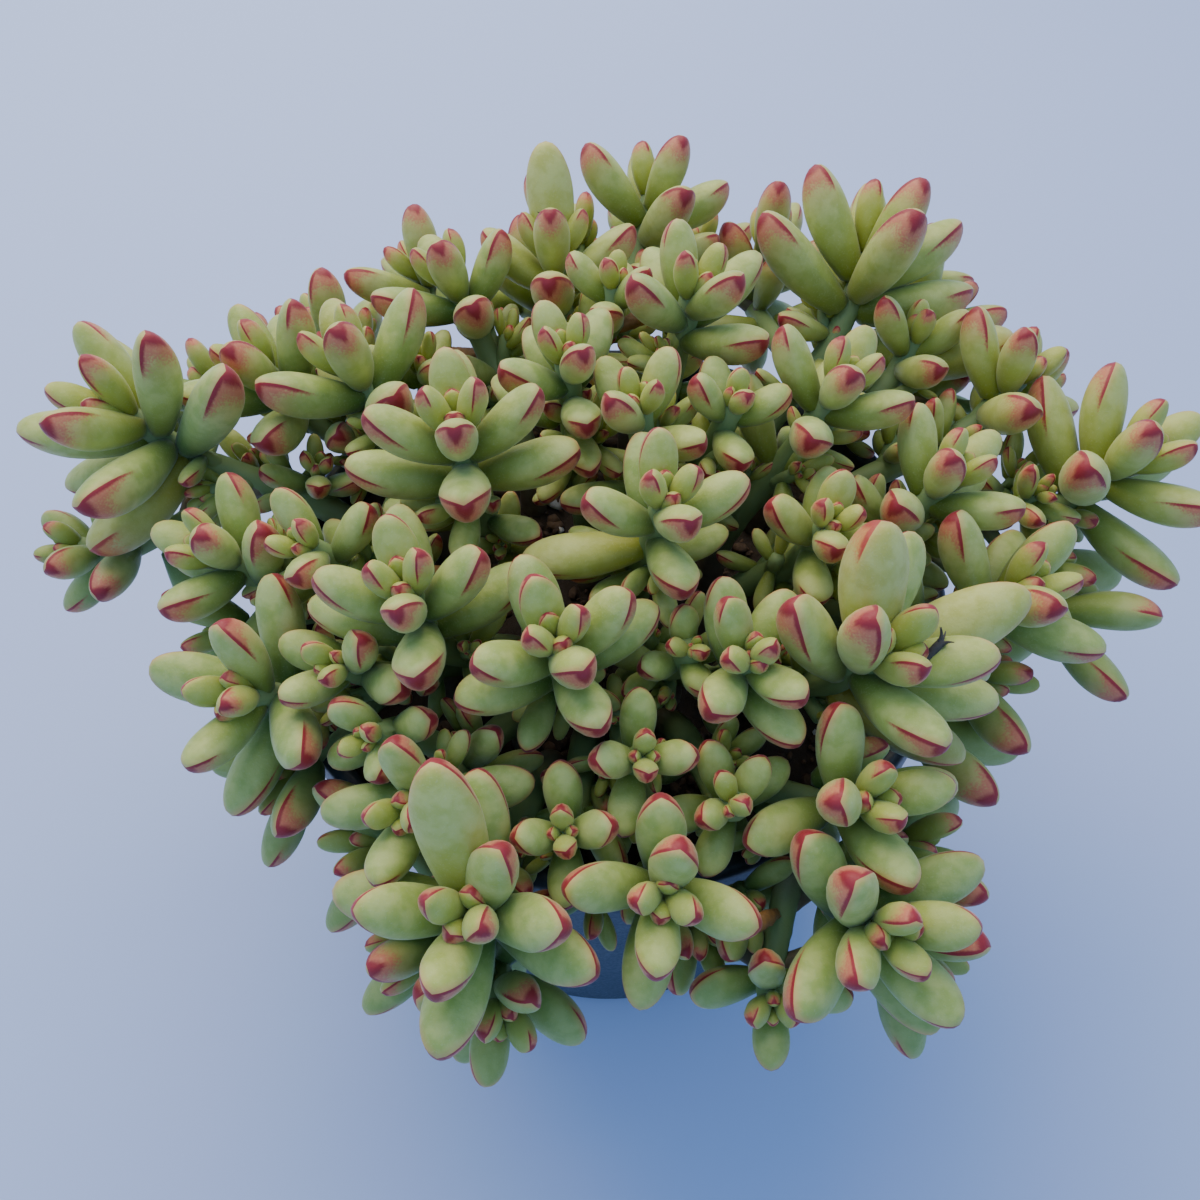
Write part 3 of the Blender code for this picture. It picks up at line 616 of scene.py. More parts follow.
def bud_rows(heads, leaves, first_heads):
    """The tiny pairs at each growing point, as rows that follow the youngest pair's roll."""
    rows = []
    for index in first_heads:
        stem, crown, axis, path = heads[index]
        own = np.nonzero((leaves["head"] == index) & (leaves["age"] < 0.01))[0]
        if not len(own):
            continue
        across_young = leaves["grow"][own[0]] - leaves["grow"][own[-1]]
        first = unit(across_young - (across_young @ axis) * axis)
        second = np.cross(axis, first)
        scale = leaves["length"][own].max() / INNER_LENGTH
        for pair, (share, tilt) in enumerate(BUD_PAIRS):
            size = max(share * scale, 1.7)
            lean = math.radians(tilt)
            for side in (0, 180):
                turn = math.radians(90 * (pair + 1) + side)
                out = math.cos(turn) * first + math.sin(turn) * second
                grow = math.cos(lean) * axis + math.sin(lean) * out
                offset = out * (0.16 * size) - axis * (CROWN_DEPTH + 0.2 - 0.25 * pair)
                rows.append((index, stem, -0.2 * (pair + 1), size, size * BUD_WIDTH / LEAF_WIDTH, *offset, *grow))
    return leaves_of(rows)


def grid_faces(rings, sides, first):
    """Quads of a tube of rings of points, with a fan at each end to its two end points."""
    ring = np.arange(rings - 1)[:, None] * sides
    side = np.arange(sides)[None]
    turn = (side + 1) % sides
    quads = np.stack((ring + side, ring + turn, ring + sides + turn, ring + sides + side), -1)
    low = rings * sides
    start = np.stack((np.full(sides, low), turn[0], side[0]), -1)
    last = (rings - 1) * sides
    end = np.stack((last + side[0], last + turn[0], np.full(sides, low + 1)), -1)
    return quads.reshape(-1, 4) + first, np.concatenate((start, end)) + first


class Sheaf:
    """Gathers the points, faces and marks of one piece."""

    def __init__(self):
        self.points = []
        self.quads = []
        self.tris = []
        self.quad_materials = []
        self.tri_materials = []
        self.place = []
        self.kind = []
        self.count = 0

    def add(self, points, rings, sides, place, kind, material):
        quads, tris = grid_faces(rings, sides, self.count)
        self.points.append(points)
        self.quads.append(quads)
        self.tris.append(tris)
        self.quad_materials.append(np.full(len(quads), material))
        self.tri_materials.append(np.full(len(tris), material))
        self.place.append(place)
        self.kind.append(np.broadcast_to(kind, (len(points), 3)))
        self.count += len(points)

    def object(self, name, materials):
        points = np.concatenate(self.points) * MM
        quads = np.concatenate(self.quads)
        tris = np.concatenate(self.tris)
        mesh = bpy.data.meshes.new(name)
        mesh.vertices.add(len(points))
        mesh.vertices.foreach_set("co", points.astype(np.float32).ravel())
        mesh.loops.add(quads.size + tris.size)
        mesh.loops.foreach_set("vertex_index", np.concatenate((quads.ravel(), tris.ravel())).astype(np.int32))
        mesh.polygons.add(len(quads) + len(tris))
        starts = np.concatenate((np.arange(len(quads)) * 4, quads.size + np.arange(len(tris)) * 3))
        mesh.polygons.foreach_set("loop_start", starts.astype(np.int32))
        slots = np.concatenate(self.quad_materials + self.tri_materials)
        mesh.polygons.foreach_set("material_index", slots.astype(np.int32))
        for label, values in (("leaf_place", self.place), ("leaf_kind", self.kind)):
            mark = mesh.attributes.new(label, "FLOAT_VECTOR", "POINT")
            mark.data.foreach_set("vector", np.concatenate(values).astype(np.float32).ravel())
        for material in materials:
            mesh.materials.append(material)
        mesh.update(calc_edges=True)
        mesh.shade_smooth()
        made = bpy.data.objects.new(name, mesh)
        bpy.context.scene.collection.objects.link(made)
        return made


def leaf_surface(base, grow, towards, length, radius, rings, sides, sway):
    """Points of one leaf, and for each its place on the leaf.

    The face that looks at the head's axis is flatter, the back is round, and they meet in a
    margin that grows sharper towards the tip. A place is the distance from the tip in leaf
    lengths, then the distances round the leaf from its margin, less than nothing on the back,
    and from the middle of its back, in greatest radii.
    """
    u = np.linspace(0, 1, rings + 2)[1:-1]
    s = (1 - (1 - u) ** TIP_CROWDING)[:, None]
    around = np.linspace(0, 2 * math.pi, sides, endpoint=False)
    x = np.cos(around) * np.ones_like(s)
    y = np.sin(around) * np.ones_like(s)
    outline = leaf_radius(s, FINE_TIP_POWER)
    wide = 2 * LEAF_WIDTH / (LEAF_WIDTH + LEAF_THICKNESS)
    thick = 2 - wide
    near_tip = np.clip((s - 0.3) / 0.7, 0, 1) ** 1.3
    face = (FACE - (FACE - TIP_FACE) * near_tip) * thick
    back = 2 * thick - face
    flatness = 1 + FACE_FLATNESS * near_tip
    bulge = np.where(y > 0, face * np.abs(y) ** flatness, back * y)
    keel = 1 + KEEL * near_tip * np.exp(-((x / 0.3) ** 2)) * (y < 0)
    ridge = 1 + RIDGE * near_tip * np.exp(-((y / 0.2) ** 2))
    height = (bulge * keel + (back - face) / 2) * outline
    side = wide * x * ridge * outline
    aside = np.cross(towards, grow)
    hook = TIP_HOOK * np.clip((s - 0.85) / 0.15, 0, 1) ** 2
    middle = base + length * (grow * s - towards * (LEAF_BEND * s * (1 - s)))
    bend = aside * (sway * s**2 * length)
    spread = aside * side[..., None] + towards * (height + hook)[..., None]
    points = (middle + bend)[:, None] + spread * radius
    tip = base + length * grow + aside * (sway * length) + towards * (TIP_HOOK * radius)
    round_leaf = np.arcsin(y) * outline
    from_keel = (math.pi / 2 + np.arcsin(y)) * outline
    place = np.stack(((1 - s) * np.ones_like(x), round_leaf, from_keel), -1).reshape(-1, 3)
    place = np.concatenate((place, ((1, 0, 0), (0, 0, 0))))
    return np.concatenate((points.reshape(-1, 3), base[None], tip[None])), place


def add_leaf(sheaf, leaves, i, base, towards, tone, draw):
    """One fine leaf. Some of the old leaves low on the stems are dried thin."""
    size = leaves["length"][i]
    dry = leaves["age"][i] == LOWER_AGE and draw.random() < DRY_SHARE
    rings, sides = next(grid[1:] for grid in FINE_GRIDS if size >= grid[0])
    sway = draw.uniform(-LEAF_SWAY, LEAF_SWAY)
    plump = leaves["radius"][i] * draw.uniform(*PLUMPNESS)
    if dry:
        plump *= 0.55
    points, place = leaf_surface(base, leaves["grow"][i], towards, size, plump, rings, sides, sway)
    age = leaves["age"][i]
    tone += draw.uniform(-0.15, 0.15) + draw.uniform(0.6, 1.1) * (age == LONE_AGE)
    if dry:
        points = points + draw.normal(0, 0.06 * plump, points.shape)
    sheaf.add(points, rings, sides, place, (age, tone, draw.random()), 3 if dry else 0)


def tube_points(places, radii, sides):
    """Points of a tube through these places, its frame carried along without twist."""
    along = unit(np.gradient(places, axis=0))
    side = unit(np.cross(along[0], (0.3, 0.9, 0.1)))
    rows = []
    around = np.linspace(0, 2 * math.pi, sides, endpoint=False)[:, None]
    for place, direction, radius in zip(places, along, radii):
        side = unit(side - (side @ direction) * direction)
        other = np.cross(direction, side)
        rows.append(place + radius * (np.cos(around) * side + np.sin(around) * other))
    ends = (places[0] - along[0] * radii[0] * 0.3, places[-1] + along[-1] * radii[-1] * 0.5)
    return np.concatenate((*rows, ends))


def ringed(t, radius, draw):
    """Radii down a stem that swells a little at each pair of leaf scars."""
    scars = 0.05 * np.cos(t * 2 * math.pi * 9 + draw.uniform(0, 6)) ** 8
    return radius * (1 + scars + draw.normal(0, 0.012, len(t)))


def add_stem(sheaf, path, top, rooted, first_radius, last_radius, draw):
    t = np.linspace(0, 1, STEM_RINGS)
    places = bezier(*path, t)
    if rooted:
        foot = path[0] * (1, 1, 0) + (0, 0, SOIL_TOP - 6)
        places = np.concatenate((foot[None], places, top[None]))
    else:
        places = np.concatenate((places, top[None]))
    t = np.linspace(0, 1, len(places))
    radii = ringed(t, first_radius + (last_radius - first_radius) * t, draw)
    points = tube_points(places, radii, STEM_SIDES)
    height = np.repeat(t, STEM_SIDES)
    place = np.stack((height, np.zeros_like(height), np.zeros_like(height)), -1)
    place = np.concatenate((place, ((0, 0, 0), (1, 0, 0))))
    sheaf.add(points, len(places), STEM_SIDES, place, (draw.random(), 0, 0), 1)


def add_stub(sheaf, top, axis, showing, end, draw):
    """A dried stalk, a little wrinkled, with curled bracts at its broken end."""
    places = np.array((top - axis * 4, top + showing, top + np.array(end)))
    t = np.linspace(0, 1, 14)
    line = np.stack([np.interp(t, (0, 0.4, 1), places[:, i]) for i in range(3)], 1)
    radii = STUB_RADIUS * (1 - 0.18 * t + draw.normal(0, 0.03, len(t)))
    points = tube_points(line, radii, 10)
    place = np.zeros((len(points), 3))
    sheaf.add(points, len(t), 10, place, (draw.random(), 0, 0), 2)
    along = unit(line[-1] - line[-3])
    first, second = across(along)
    for bract in range(5):
        turn = 2 * math.pi * bract / 5 + draw.uniform(-0.3, 0.3)
        out = math.cos(turn) * first + math.sin(turn) * second
        size = draw.uniform(1.3, 2.0)
        steps = np.linspace(0, 1, 6)[:, None]
        curl = line[-1] - along * 0.3 + out * 0.5 + (along * steps + out * steps**2 * 0.9) * size
        points = tube_points(curl, 0.34 * (1.05 - steps[:, 0]) + 0.05, 6)
        sheaf.add(points, 6, 6, np.zeros((len(points), 3)), (draw.random(), 0, 0), 2)


def node(tree, kind, *place, **values):
    made = tree.nodes.new(kind)
    if place:
        made.location = place
    for name, value in values.items():
        setattr(made, name, value)
    return made


class Shader:
    """Short calls for building one material's nodes."""

    def __init__(self, name):
        self.material = bpy.data.materials.new(name)
        self.material.use_nodes = True
        self.tree = self.material.node_tree
        self.out = self.tree.nodes["Principled BSDF"]

    def link(self, source, target):
        if isinstance(source, (int, float)):
            target.default_value = source
        elif isinstance(source, tuple):
            target.default_value = source
        else:
            self.tree.links.new(source, target)

    def math(self, operation, first, second=0.0, third=0.0, clamp=False):
        made = node(self.tree, "ShaderNodeMath", operation=operation, use_clamp=clamp)
        for socket, value in zip(made.inputs, (first, second, third)):
            self.link(value, socket)
        return made.outputs[0]

    def ramp(self, value, low, high, to_low=0.0, to_high=1.0):
        """A smooth step from to_low at low to to_high at high."""
        made = node(self.tree, "ShaderNodeMapRange", interpolation_type="SMOOTHSTEP")
        for socket, given in zip(made.inputs, (value, low, high, to_low, to_high)):
            self.link(given, socket)
        return made.outputs[0]

    def mix(self, factor, first, second, kind="MIX"):
        made = node(self.tree, "ShaderNodeMix", data_type="RGBA", blend_type=kind)
        self.link(factor, made.inputs[0])
        self.link(first, made.inputs[6])
        self.link(second, made.inputs[7])
        return made.outputs[2]

    def noise(self, scale, detail=3.0, roughness=0.55, vector=None, **values):
        made = node(self.tree, "ShaderNodeTexNoise", **values)
        self.link(scale, made.inputs["Scale"])
        self.link(detail, made.inputs["Detail"])
        self.link(roughness, made.inputs["Roughness"])
        self.link(vector if vector is not None else self.place(), made.inputs["Vector"])
        return made.outputs["Fac"]

    def place(self):
        if not hasattr(self, "_place"):
            self._place = node(self.tree, "ShaderNodeTexCoord").outputs["Object"]
        return self._place

    def height(self):
        parts = node(self.tree, "ShaderNodeSeparateXYZ")
        self.tree.links.new(self.place(), parts.inputs[0])
        return parts.outputs[2]

    def mark(self, name):
        made = node(self.tree, "ShaderNodeAttribute", attribute_name=name)
        parts = node(self.tree, "ShaderNodeSeparateXYZ")
        self.tree.links.new(made.outputs["Vector"], parts.inputs[0])
        return parts.outputs

    def bump(self, height, distance, strength=1.0, under=None):
        made = node(self.tree, "ShaderNodeBump")
        self.link(strength, made.inputs["Strength"])
        self.link(distance, made.inputs["Distance"])
        self.link(height, made.inputs["Height"])
        if under is not None:
            self.link(under, made.inputs["Normal"])
        return made.outputs[0]


def leaf_material():
    made = Shader("crassula leaf")
    from_tip, round_leaf, from_keel = made.mark("leaf_place")
    age, tone, blush = made.mark("leaf_kind")
    fine = made.noise(2400.0, 2.0)
    soft = made.noise(300.0, 3.0)
    broad = made.noise(70.0, 2.0)
    grain = made.math("SUBTRACT", fine, 0.5)

    # The green body: deeper at the foot, which is the leaf's own colour and also painted shade where the feet sit
    # between leaves; painted shade darkens the leaves low in the mound; yellower where it is young.
    low = made.height()
    deep = (0.055, 0.135, 0.018, 1)
    green = (0.210, 0.335, 0.040, 1)
    lime = (0.450, 0.430, 0.035, 1)
    old = (0.50, 0.30, 0.035, 1)
    # Deeper green at the foot: the leaf's own colour, and partly painted shade for the gaps between leaves.
    body = made.mix(made.ramp(from_tip, 0.95, 0.4), deep, green)
    body = made.mix(made.math("MULTIPLY", made.ramp(age, 0.75, -0.1), 0.55), body, lime)
    body = made.mix(made.math("MULTIPLY", made.ramp(tone, 0.1, 0.9), 0.6), body, lime)
    body = made.mix(made.math("MULTIPLY", made.ramp(tone, 1.0, 1.7), 0.6), body, old)

    # The pale bloom, thicker on the outer half and rubbed thin in patches.
    bloom = (0.66, 0.68, 0.24, 1)
    rubbed = made.ramp(soft, 0.66, 0.36, 0.45, 1.0)
    frost = made.math("MULTIPLY", made.ramp(from_tip, 0.9, 0.3), rubbed)
    frost = made.math("MULTIPLY", frost, made.ramp(age, -0.3, 0.5, 0.25, 0.58))
    body = made.mix(frost, body, bloom)
    body = made.mix(made.math("MULTIPLY", made.ramp(fine, 0.54, 0.72), 0.10), body, (0.80, 0.84, 0.55, 1))
    # Painted shade: leaves low in the mound are mixed towards a dark green by their height.
    body = made.mix(made.ramp(low, 0.145, 0.105, 0.0, 0.5), body, (0.10, 0.19, 0.05, 1))

    # Crimson at the tip: a thin dark line down both margins, sharp on the face and stippled out on
    # the back, and a wedge that points down the middle of the back.
    wavy = made.math("MULTIPLY_ADD", made.math("SUBTRACT", soft, 0.5), 0.12, round_leaf)
    face_edge = made.ramp(wavy, 0.09, -0.02)
    reach = made.math("MULTIPLY_ADD", blush, 0.45, 0.28)
    along = made.math("SUBTRACT", 1.0, made.math("DIVIDE", from_tip, reach), clamp=True)
    behind = made.math("MULTIPLY", wavy, -1.0)
    line = made.math("MULTIPLY", made.ramp(behind, 0.22, 0.02), made.ramp(along, 0.0, 0.75))
    apex = made.math("MULTIPLY_ADD", from_tip, 3.2, made.math("MULTIPLY", from_keel, 0.3))
    wedge = made.ramp(made.math("MULTIPLY_ADD", from_tip, 1.5, from_keel), 0.36, 0.10)
    tip = made.math("MAXIMUM", wedge, made.ramp(apex, 0.50, 0.05))
    crisp = made.math("MULTIPLY", made.math("MAXIMUM", line, tip), face_edge)
    crisp = made.math("MULTIPLY", crisp, made.ramp(age, -0.7, 0.0, 0.6, 1.0))
    spread = made.ramp(from_tip, 0.45, 0.0, 0.28, 0.95)
    halo = made.math("MULTIPLY", made.ramp(made.math("DIVIDE", behind, spread), 1.0, 0.0), made.ramp(along, 0.0, 0.9))
    halo = made.math("MAXIMUM", halo, made.ramp(apex, 1.15, 0.1))
    halo = made.math("MULTIPLY", halo, face_edge)
    stipple = made.math("MULTIPLY_ADD", grain, made.ramp(halo, 0.0, 0.3, 0.0, 1.3), halo)
    flush = made.math("MULTIPLY", made.ramp(from_tip, 0.42, 0.0), made.ramp(round_leaf, 0.7, -0.1))
    flush = made.math("MULTIPLY", flush, made.math("MULTIPLY_ADD", blush, 0.50, 0.35))
    body = made.mix(flush, body, (0.70, 0.34, 0.13, 1))
    aged = made.ramp(tone, 0.9, 1.6)
    pink = made.mix(aged, (0.60, 0.135, 0.085, 1), (0.66, 0.24, 0.035, 1))
    crimson = made.mix(aged, (0.30, 0.008, 0.022, 1), (0.50, 0.060, 0.020, 1))
    body = made.mix(made.ramp(stipple, 0.15, 0.85, 0.0, 0.80), body, pink)
    ragged = made.math("MULTIPLY_ADD", grain, 0.25, crisp)
    body = made.mix(made.ramp(ragged, 0.20, 0.85, 0.0, 0.95), body, crimson)

    # Small scars and rubbed streaks.
    scar = made.ramp(made.noise(190.0, 6.0, 0.75), 0.70, 0.76)
    body = made.mix(made.math("MULTIPLY", scar, 0.3), body, (0.70, 0.68, 0.45, 1))
    made.link(body, made.out.inputs["Base Color"])
    made.link(made.ramp(fine, 0.2, 0.8, 0.42, 0.56), made.out.inputs["Roughness"])
    made.out.inputs["Specular IOR Level"].default_value = 0.4
    made.out.inputs["Subsurface Weight"].default_value = 0.2
    made.out.inputs["Subsurface Radius"].default_value = (1.0, 0.9, 0.3)
    made.out.inputs["Subsurface Scale"].default_value = 0.0015
    made.out.inputs["Sheen Weight"].default_value = 0.2
    made.out.inputs["Sheen Roughness"].default_value = 0.45
    made.out.inputs["Sheen Tint"].default_value = (0.86, 0.93, 0.80, 1)
    swell = made.bump(broad, 0.0006, 0.35)
    skin = made.bump(fine, 0.00006, 0.8, swell)
    made.link(made.bump(soft, 0.00025, 0.5, skin), made.out.inputs["Normal"])
    return made.material


def stem_material():
    made = Shader("crassula stem")
    along, _, _ = made.mark("leaf_place")
    rough = made.noise(420.0, 5.0, 0.6)
    broad = made.noise(90.0, 3.0)
    bark = made.mix(rough, (0.10, 0.075, 0.045, 1), (0.24, 0.19, 0.12, 1))
    green = made.mix(broad, (0.13, 0.22, 0.06, 1), (0.24, 0.32, 0.12, 1))
    turn = made.math("ADD", along, made.math("MULTIPLY", made.math("SUBTRACT", broad, 0.5), 0.4))
    made.link(made.mix(made.ramp(turn, 0.12, 0.5), bark, green), made.out.inputs["Base Color"])
    made.out.inputs["Roughness"].default_value = 0.62
    made.out.inputs["Subsurface Weight"].default_value = 0.08
    made.out.inputs["Subsurface Scale"].default_value = 0.001
    made.link(made.bump(rough, 0.0003, 0.6), made.out.inputs["Normal"])
    return made.material


def dry_material():
    made = Shader("dried stalk")
    rough = made.noise(900.0, 5.0, 0.65)
    made.link(made.mix(rough, (0.018, 0.016, 0.016, 1), (0.12, 0.10, 0.085, 1)), made.out.inputs["Base Color"])
    made.out.inputs["Roughness"].default_value = 0.85
    made.link(made.bump(rough, 0.0003, 0.8), made.out.inputs["Normal"])
    return made.material


def dry_leaf_material():
    made = Shader("dried leaf")
    rough = made.noise(500.0, 5.0, 0.65)
    broad = made.noise(120.0, 3.0)
    body = made.mix(rough, (0.16, 0.075, 0.028, 1), (0.46, 0.24, 0.085, 1))
    body = made.mix(made.ramp(broad, 0.45, 0.7), body, (0.52, 0.23, 0.05, 1))
    made.link(body, made.out.inputs["Base Color"])
    made.out.inputs["Roughness"].default_value = 0.72
    made.link(made.bump(rough, 0.0005, 0.9), made.out.inputs["Normal"])
    return made.material


def crumb_material():
    made = Shader("bark crumbs")
    rough = made.noise(900.0, 5.0, 0.7)
    _, tone, _ = made.mark("leaf_kind")
    body = made.mix(tone, (0.022, 0.014, 0.009, 1), (0.13, 0.075, 0.040, 1))
    body = made.mix(made.ramp(rough, 0.4, 0.8, 0.0, 0.6), body, (0.20, 0.13, 0.08, 1))
    made.link(body, made.out.inputs["Base Color"])
    made.out.inputs["Roughness"].default_value = 0.92
    made.link(made.bump(rough, 0.0005, 0.8), made.out.inputs["Normal"])
    return made.material


def grain_material():
    made = Shader("pale grains")
    rough = made.noise(1500.0, 4.0, 0.6)
    made.link(made.mix(rough, (0.42, 0.40, 0.36, 1), (0.70, 0.68, 0.63, 1)), made.out.inputs["Base Color"])
    made.out.inputs["Roughness"].default_value = 0.9
    made.link(made.bump(rough, 0.0002, 0.8), made.out.inputs["Normal"])
    return made.material


def pot_material():
    made = Shader("dark pot plastic")
    grain = made.noise(1400.0, 3.0)
    broad = made.noise(35.0, 4.0)
    dust = made.ramp(made.noise(160.0, 6.0, 0.7), 0.52, 0.75)
    body = made.mix(broad, (0.020, 0.026, 0.034, 1), (0.034, 0.042, 0.052, 1))
    body = made.mix(made.math("MULTIPLY", dust, 0.25), body, (0.16, 0.16, 0.155, 1))
    made.link(body, made.out.inputs["Base Color"])
    made.link(made.ramp(grain, 0.2, 0.8, 0.36, 0.52), made.out.inputs["Roughness"])
    made.link(made.bump(grain, 0.00005, 0.7), made.out.inputs["Normal"])
    return made.material


def mix_material():
    made = Shader("potting mix")
    rough = made.noise(700.0, 6.0, 0.7)
    broad = made.noise(110.0, 3.0)
    body = made.mix(rough, (0.014, 0.010, 0.007, 1), (0.085, 0.055, 0.034, 1))
    body = made.mix(made.ramp(broad, 0.45, 0.75), body, (0.05, 0.036, 0.026, 1))
    made.link(body, made.out.inputs["Base Color"])
    made.out.inputs["Roughness"].default_value = 0.95
    made.link(made.bump(rough, 0.0012, 0.9), made.out.inputs["Normal"])
    return made.material


def floor_material():
    made = Shader("pale floor")
    broad = made.noise(3.0, 3.0)
    made.link(made.mix(broad, *FLOOR_COLOURS), made.out.inputs["Base Color"])
    made.out.inputs["Roughness"].default_value = 0.8
    return made.material


def make_plant(materials):
    draw = np.random.default_rng(SEED)
    heads, leaves = lay_out()
    everyone = np.ones(len(leaves["age"]), bool)
    shift, grow = settle(heads, leaves, everyone, SETTLE_STEPS)
    length, kept = trim(heads, leaves, shift, grow, everyone)
    for name in leaves:
        leaves[name] = leaves[name][kept]
    leaves["grow"] = grow[kept]
    leaves["radius"] = leaves["radius"] * length[kept] / leaves["length"]
    leaves["length"] = length[kept]
    moved = []
    for (stem, crown, axis, path), step in zip(heads, shift):
        moved.append((stem, crown + step, axis, (path[0], path[1], path[2] + step, path[3] + step)))
    heads = moved

    first_count = len(heads)
    buds = bud_rows(heads, leaves, range(first_count))
    added, extra = extra_leaves(heads, draw)
    heads = heads + added
    main_count = len(leaves["age"])
    leaves = joined(leaves, extra)
    free = np.arange(len(leaves["age"])) >= main_count
    shift, grow = settle(heads, leaves, free, EXTRA_STEPS)
    length, kept = trim(heads, leaves, shift, grow, free)
    print("extra leaves", free.sum(), "kept", (free & kept).sum())
    leaves = {name: values[kept] for name, values in leaves.items()}
    leaves["grow"] = grow[kept]
    leaves["radius"] = leaves["radius"] * length[kept] / leaves["length"]
    leaves["length"] = length[kept]
    crowns = np.array([head[1] for head in heads]) + shift
    leaves["shift"] = shift[leaves["head"]]
    buds["shift"] = np.zeros((len(buds["age"]), 3))
    side_heads = [i for i in range(first_count, len(heads)) if (leaves["head"] == i).sum() >= 4]
    more = bud_rows([(h[0], h[1] + s, h[2], h[3]) for h, s in zip(heads, shift)], leaves, side_heads)
    more["shift"] = shift[more["head"]]
    leaves = joined(joined(leaves, buds), more)

    towards = inward(leaves, heads, leaves["grow"])
    base = np.array([head[1] for head in heads])[leaves["head"]] + leaves["shift"] + leaves["offset"]
    places = np.array([head[1] for head in heads])
    head_tone = TONE + (places[:, :2] * TONE_SLOPE).sum(1) + draw.uniform(-0.15, 0.15, len(heads))
    used = set(leaves["head"])
    triangles = 0
    for stem in range(len(STEMS)):
        sheaf = Sheaf()
        for index, (owner, crown, axis, path) in enumerate(heads):
            if owner != stem or (index >= first_count and path is heads_path(heads, first_count, path)):
                continue
            if index >= first_count and index not in used:
                continue
            rooted = path[0][2] < SOIL_TOP + 2 * SOIL_CROWN
            top = crown + shift[index]
            if index < first_count:
                wide = STEM_RADIUS if rooted else TIP_STEM_RADIUS
                add_stem(sheaf, path, top - axis * 0.8, rooted, wide, TIP_STEM_RADIUS, draw)
            elif path is not heads_path(heads, first_count, path):
                end = (path[0], path[1], path[2] + shift[index], path[3] + shift[index])
                add_stem(sheaf, end, top, False, 1.7, 1.4, draw)
        for i in np.nonzero(leaves["stem"] == stem)[0]:
            add_leaf(sheaf, leaves, i, base[i], towards[i], head_tone[leaves["head"][i]], draw)
        for owner, showing, end in STUBS:
            if owner == stem:
                index = next(i for i, head in enumerate(heads) if head[0] == stem)
                add_stub(sheaf, heads[index][1], heads[index][2], showing, end, draw)
        made = sheaf.object(f"crassula_stem_{stem + 1:02d}", materials)
        triangles += sum(len(quads) * 2 for quads in sheaf.quads) + sum(map(len, sheaf.tris))
        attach(made, "root")
        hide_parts(f"leafy_stem_{stem + 1:02d}")
    print("plant triangles", triangles)


def heads_path(heads, first_count, path):
    """The path itself if it belongs to one of the main heads, as the old pairs down them do."""
    for head in heads[:first_count]:
        if head[3] is path:
            return path
    return None


def inner_radius(height):
    """The radius of the pot's inner wall at a height, in mm."""
    return BASE_RADIUS + (RIM_RADIUS - LIP_OUT - BASE_RADIUS) * height / POT_HEIGHT - WALL


def rounded(outline, radius, steps=6):
    """A closed outline with each corner off the axis drawn as a small curve."""
    outline = np.array(outline, float)
    points = []
    for i, corner in enumerate(outline):
        before, after = outline[i - 1] - corner, outline[(i + 1) % len(outline)] - corner
        if corner[0] == 0:
            points.append(corner)
            continue
        reach = min(radius, np.linalg.norm(before) * 0.45, np.linalg.norm(after) * 0.45)
        start, end = corner + unit(before) * reach, corner + unit(after) * reach
        for t in np.linspace(0, 1, steps):
            points.append((1 - t) ** 2 * start + 2 * t * (1 - t) * corner + t**2 * end)
    return np.array(points)


def turned(name, outline, sides):
    """A closed outline of radii and heights, in mm, turned about the +Z axis."""
    around = np.linspace(0, 2 * math.pi, sides, endpoint=False)
    ring = np.stack((np.cos(around), np.sin(around)), 1)
    flat = outline[:, None, :1] * ring[None]
    height = np.broadcast_to(outline[:, None, 1:], (*flat.shape[:2], 1))
    points = np.concatenate((flat, height), 2).reshape(-1, 3) * MM
    rows = np.arange(len(outline))
    below = rows[:, None] * sides
    above = (rows[:, None] + 1) % len(rows) * sides
    side = np.arange(sides)[None]
    turn = (side + 1) % sides
    quads = np.stack((below + side, above + side, above + turn, below + turn), -1).reshape(-1, 4)
    mesh = bpy.data.meshes.new(name)
    mesh.from_pydata(points.tolist(), [], quads.tolist())
    grid = bmesh.new()
    grid.from_mesh(mesh)
    bmesh.ops.remove_doubles(grid, verts=grid.verts, dist=1e-7)
    if grid.calc_volume(signed=True) < 0:
        bmesh.ops.reverse_faces(grid, faces=grid.faces)
    grid.to_mesh(mesh)
    grid.free()
    made = bpy.data.objects.new(name, mesh)
    bpy.context.scene.collection.objects.link(made)
    return made


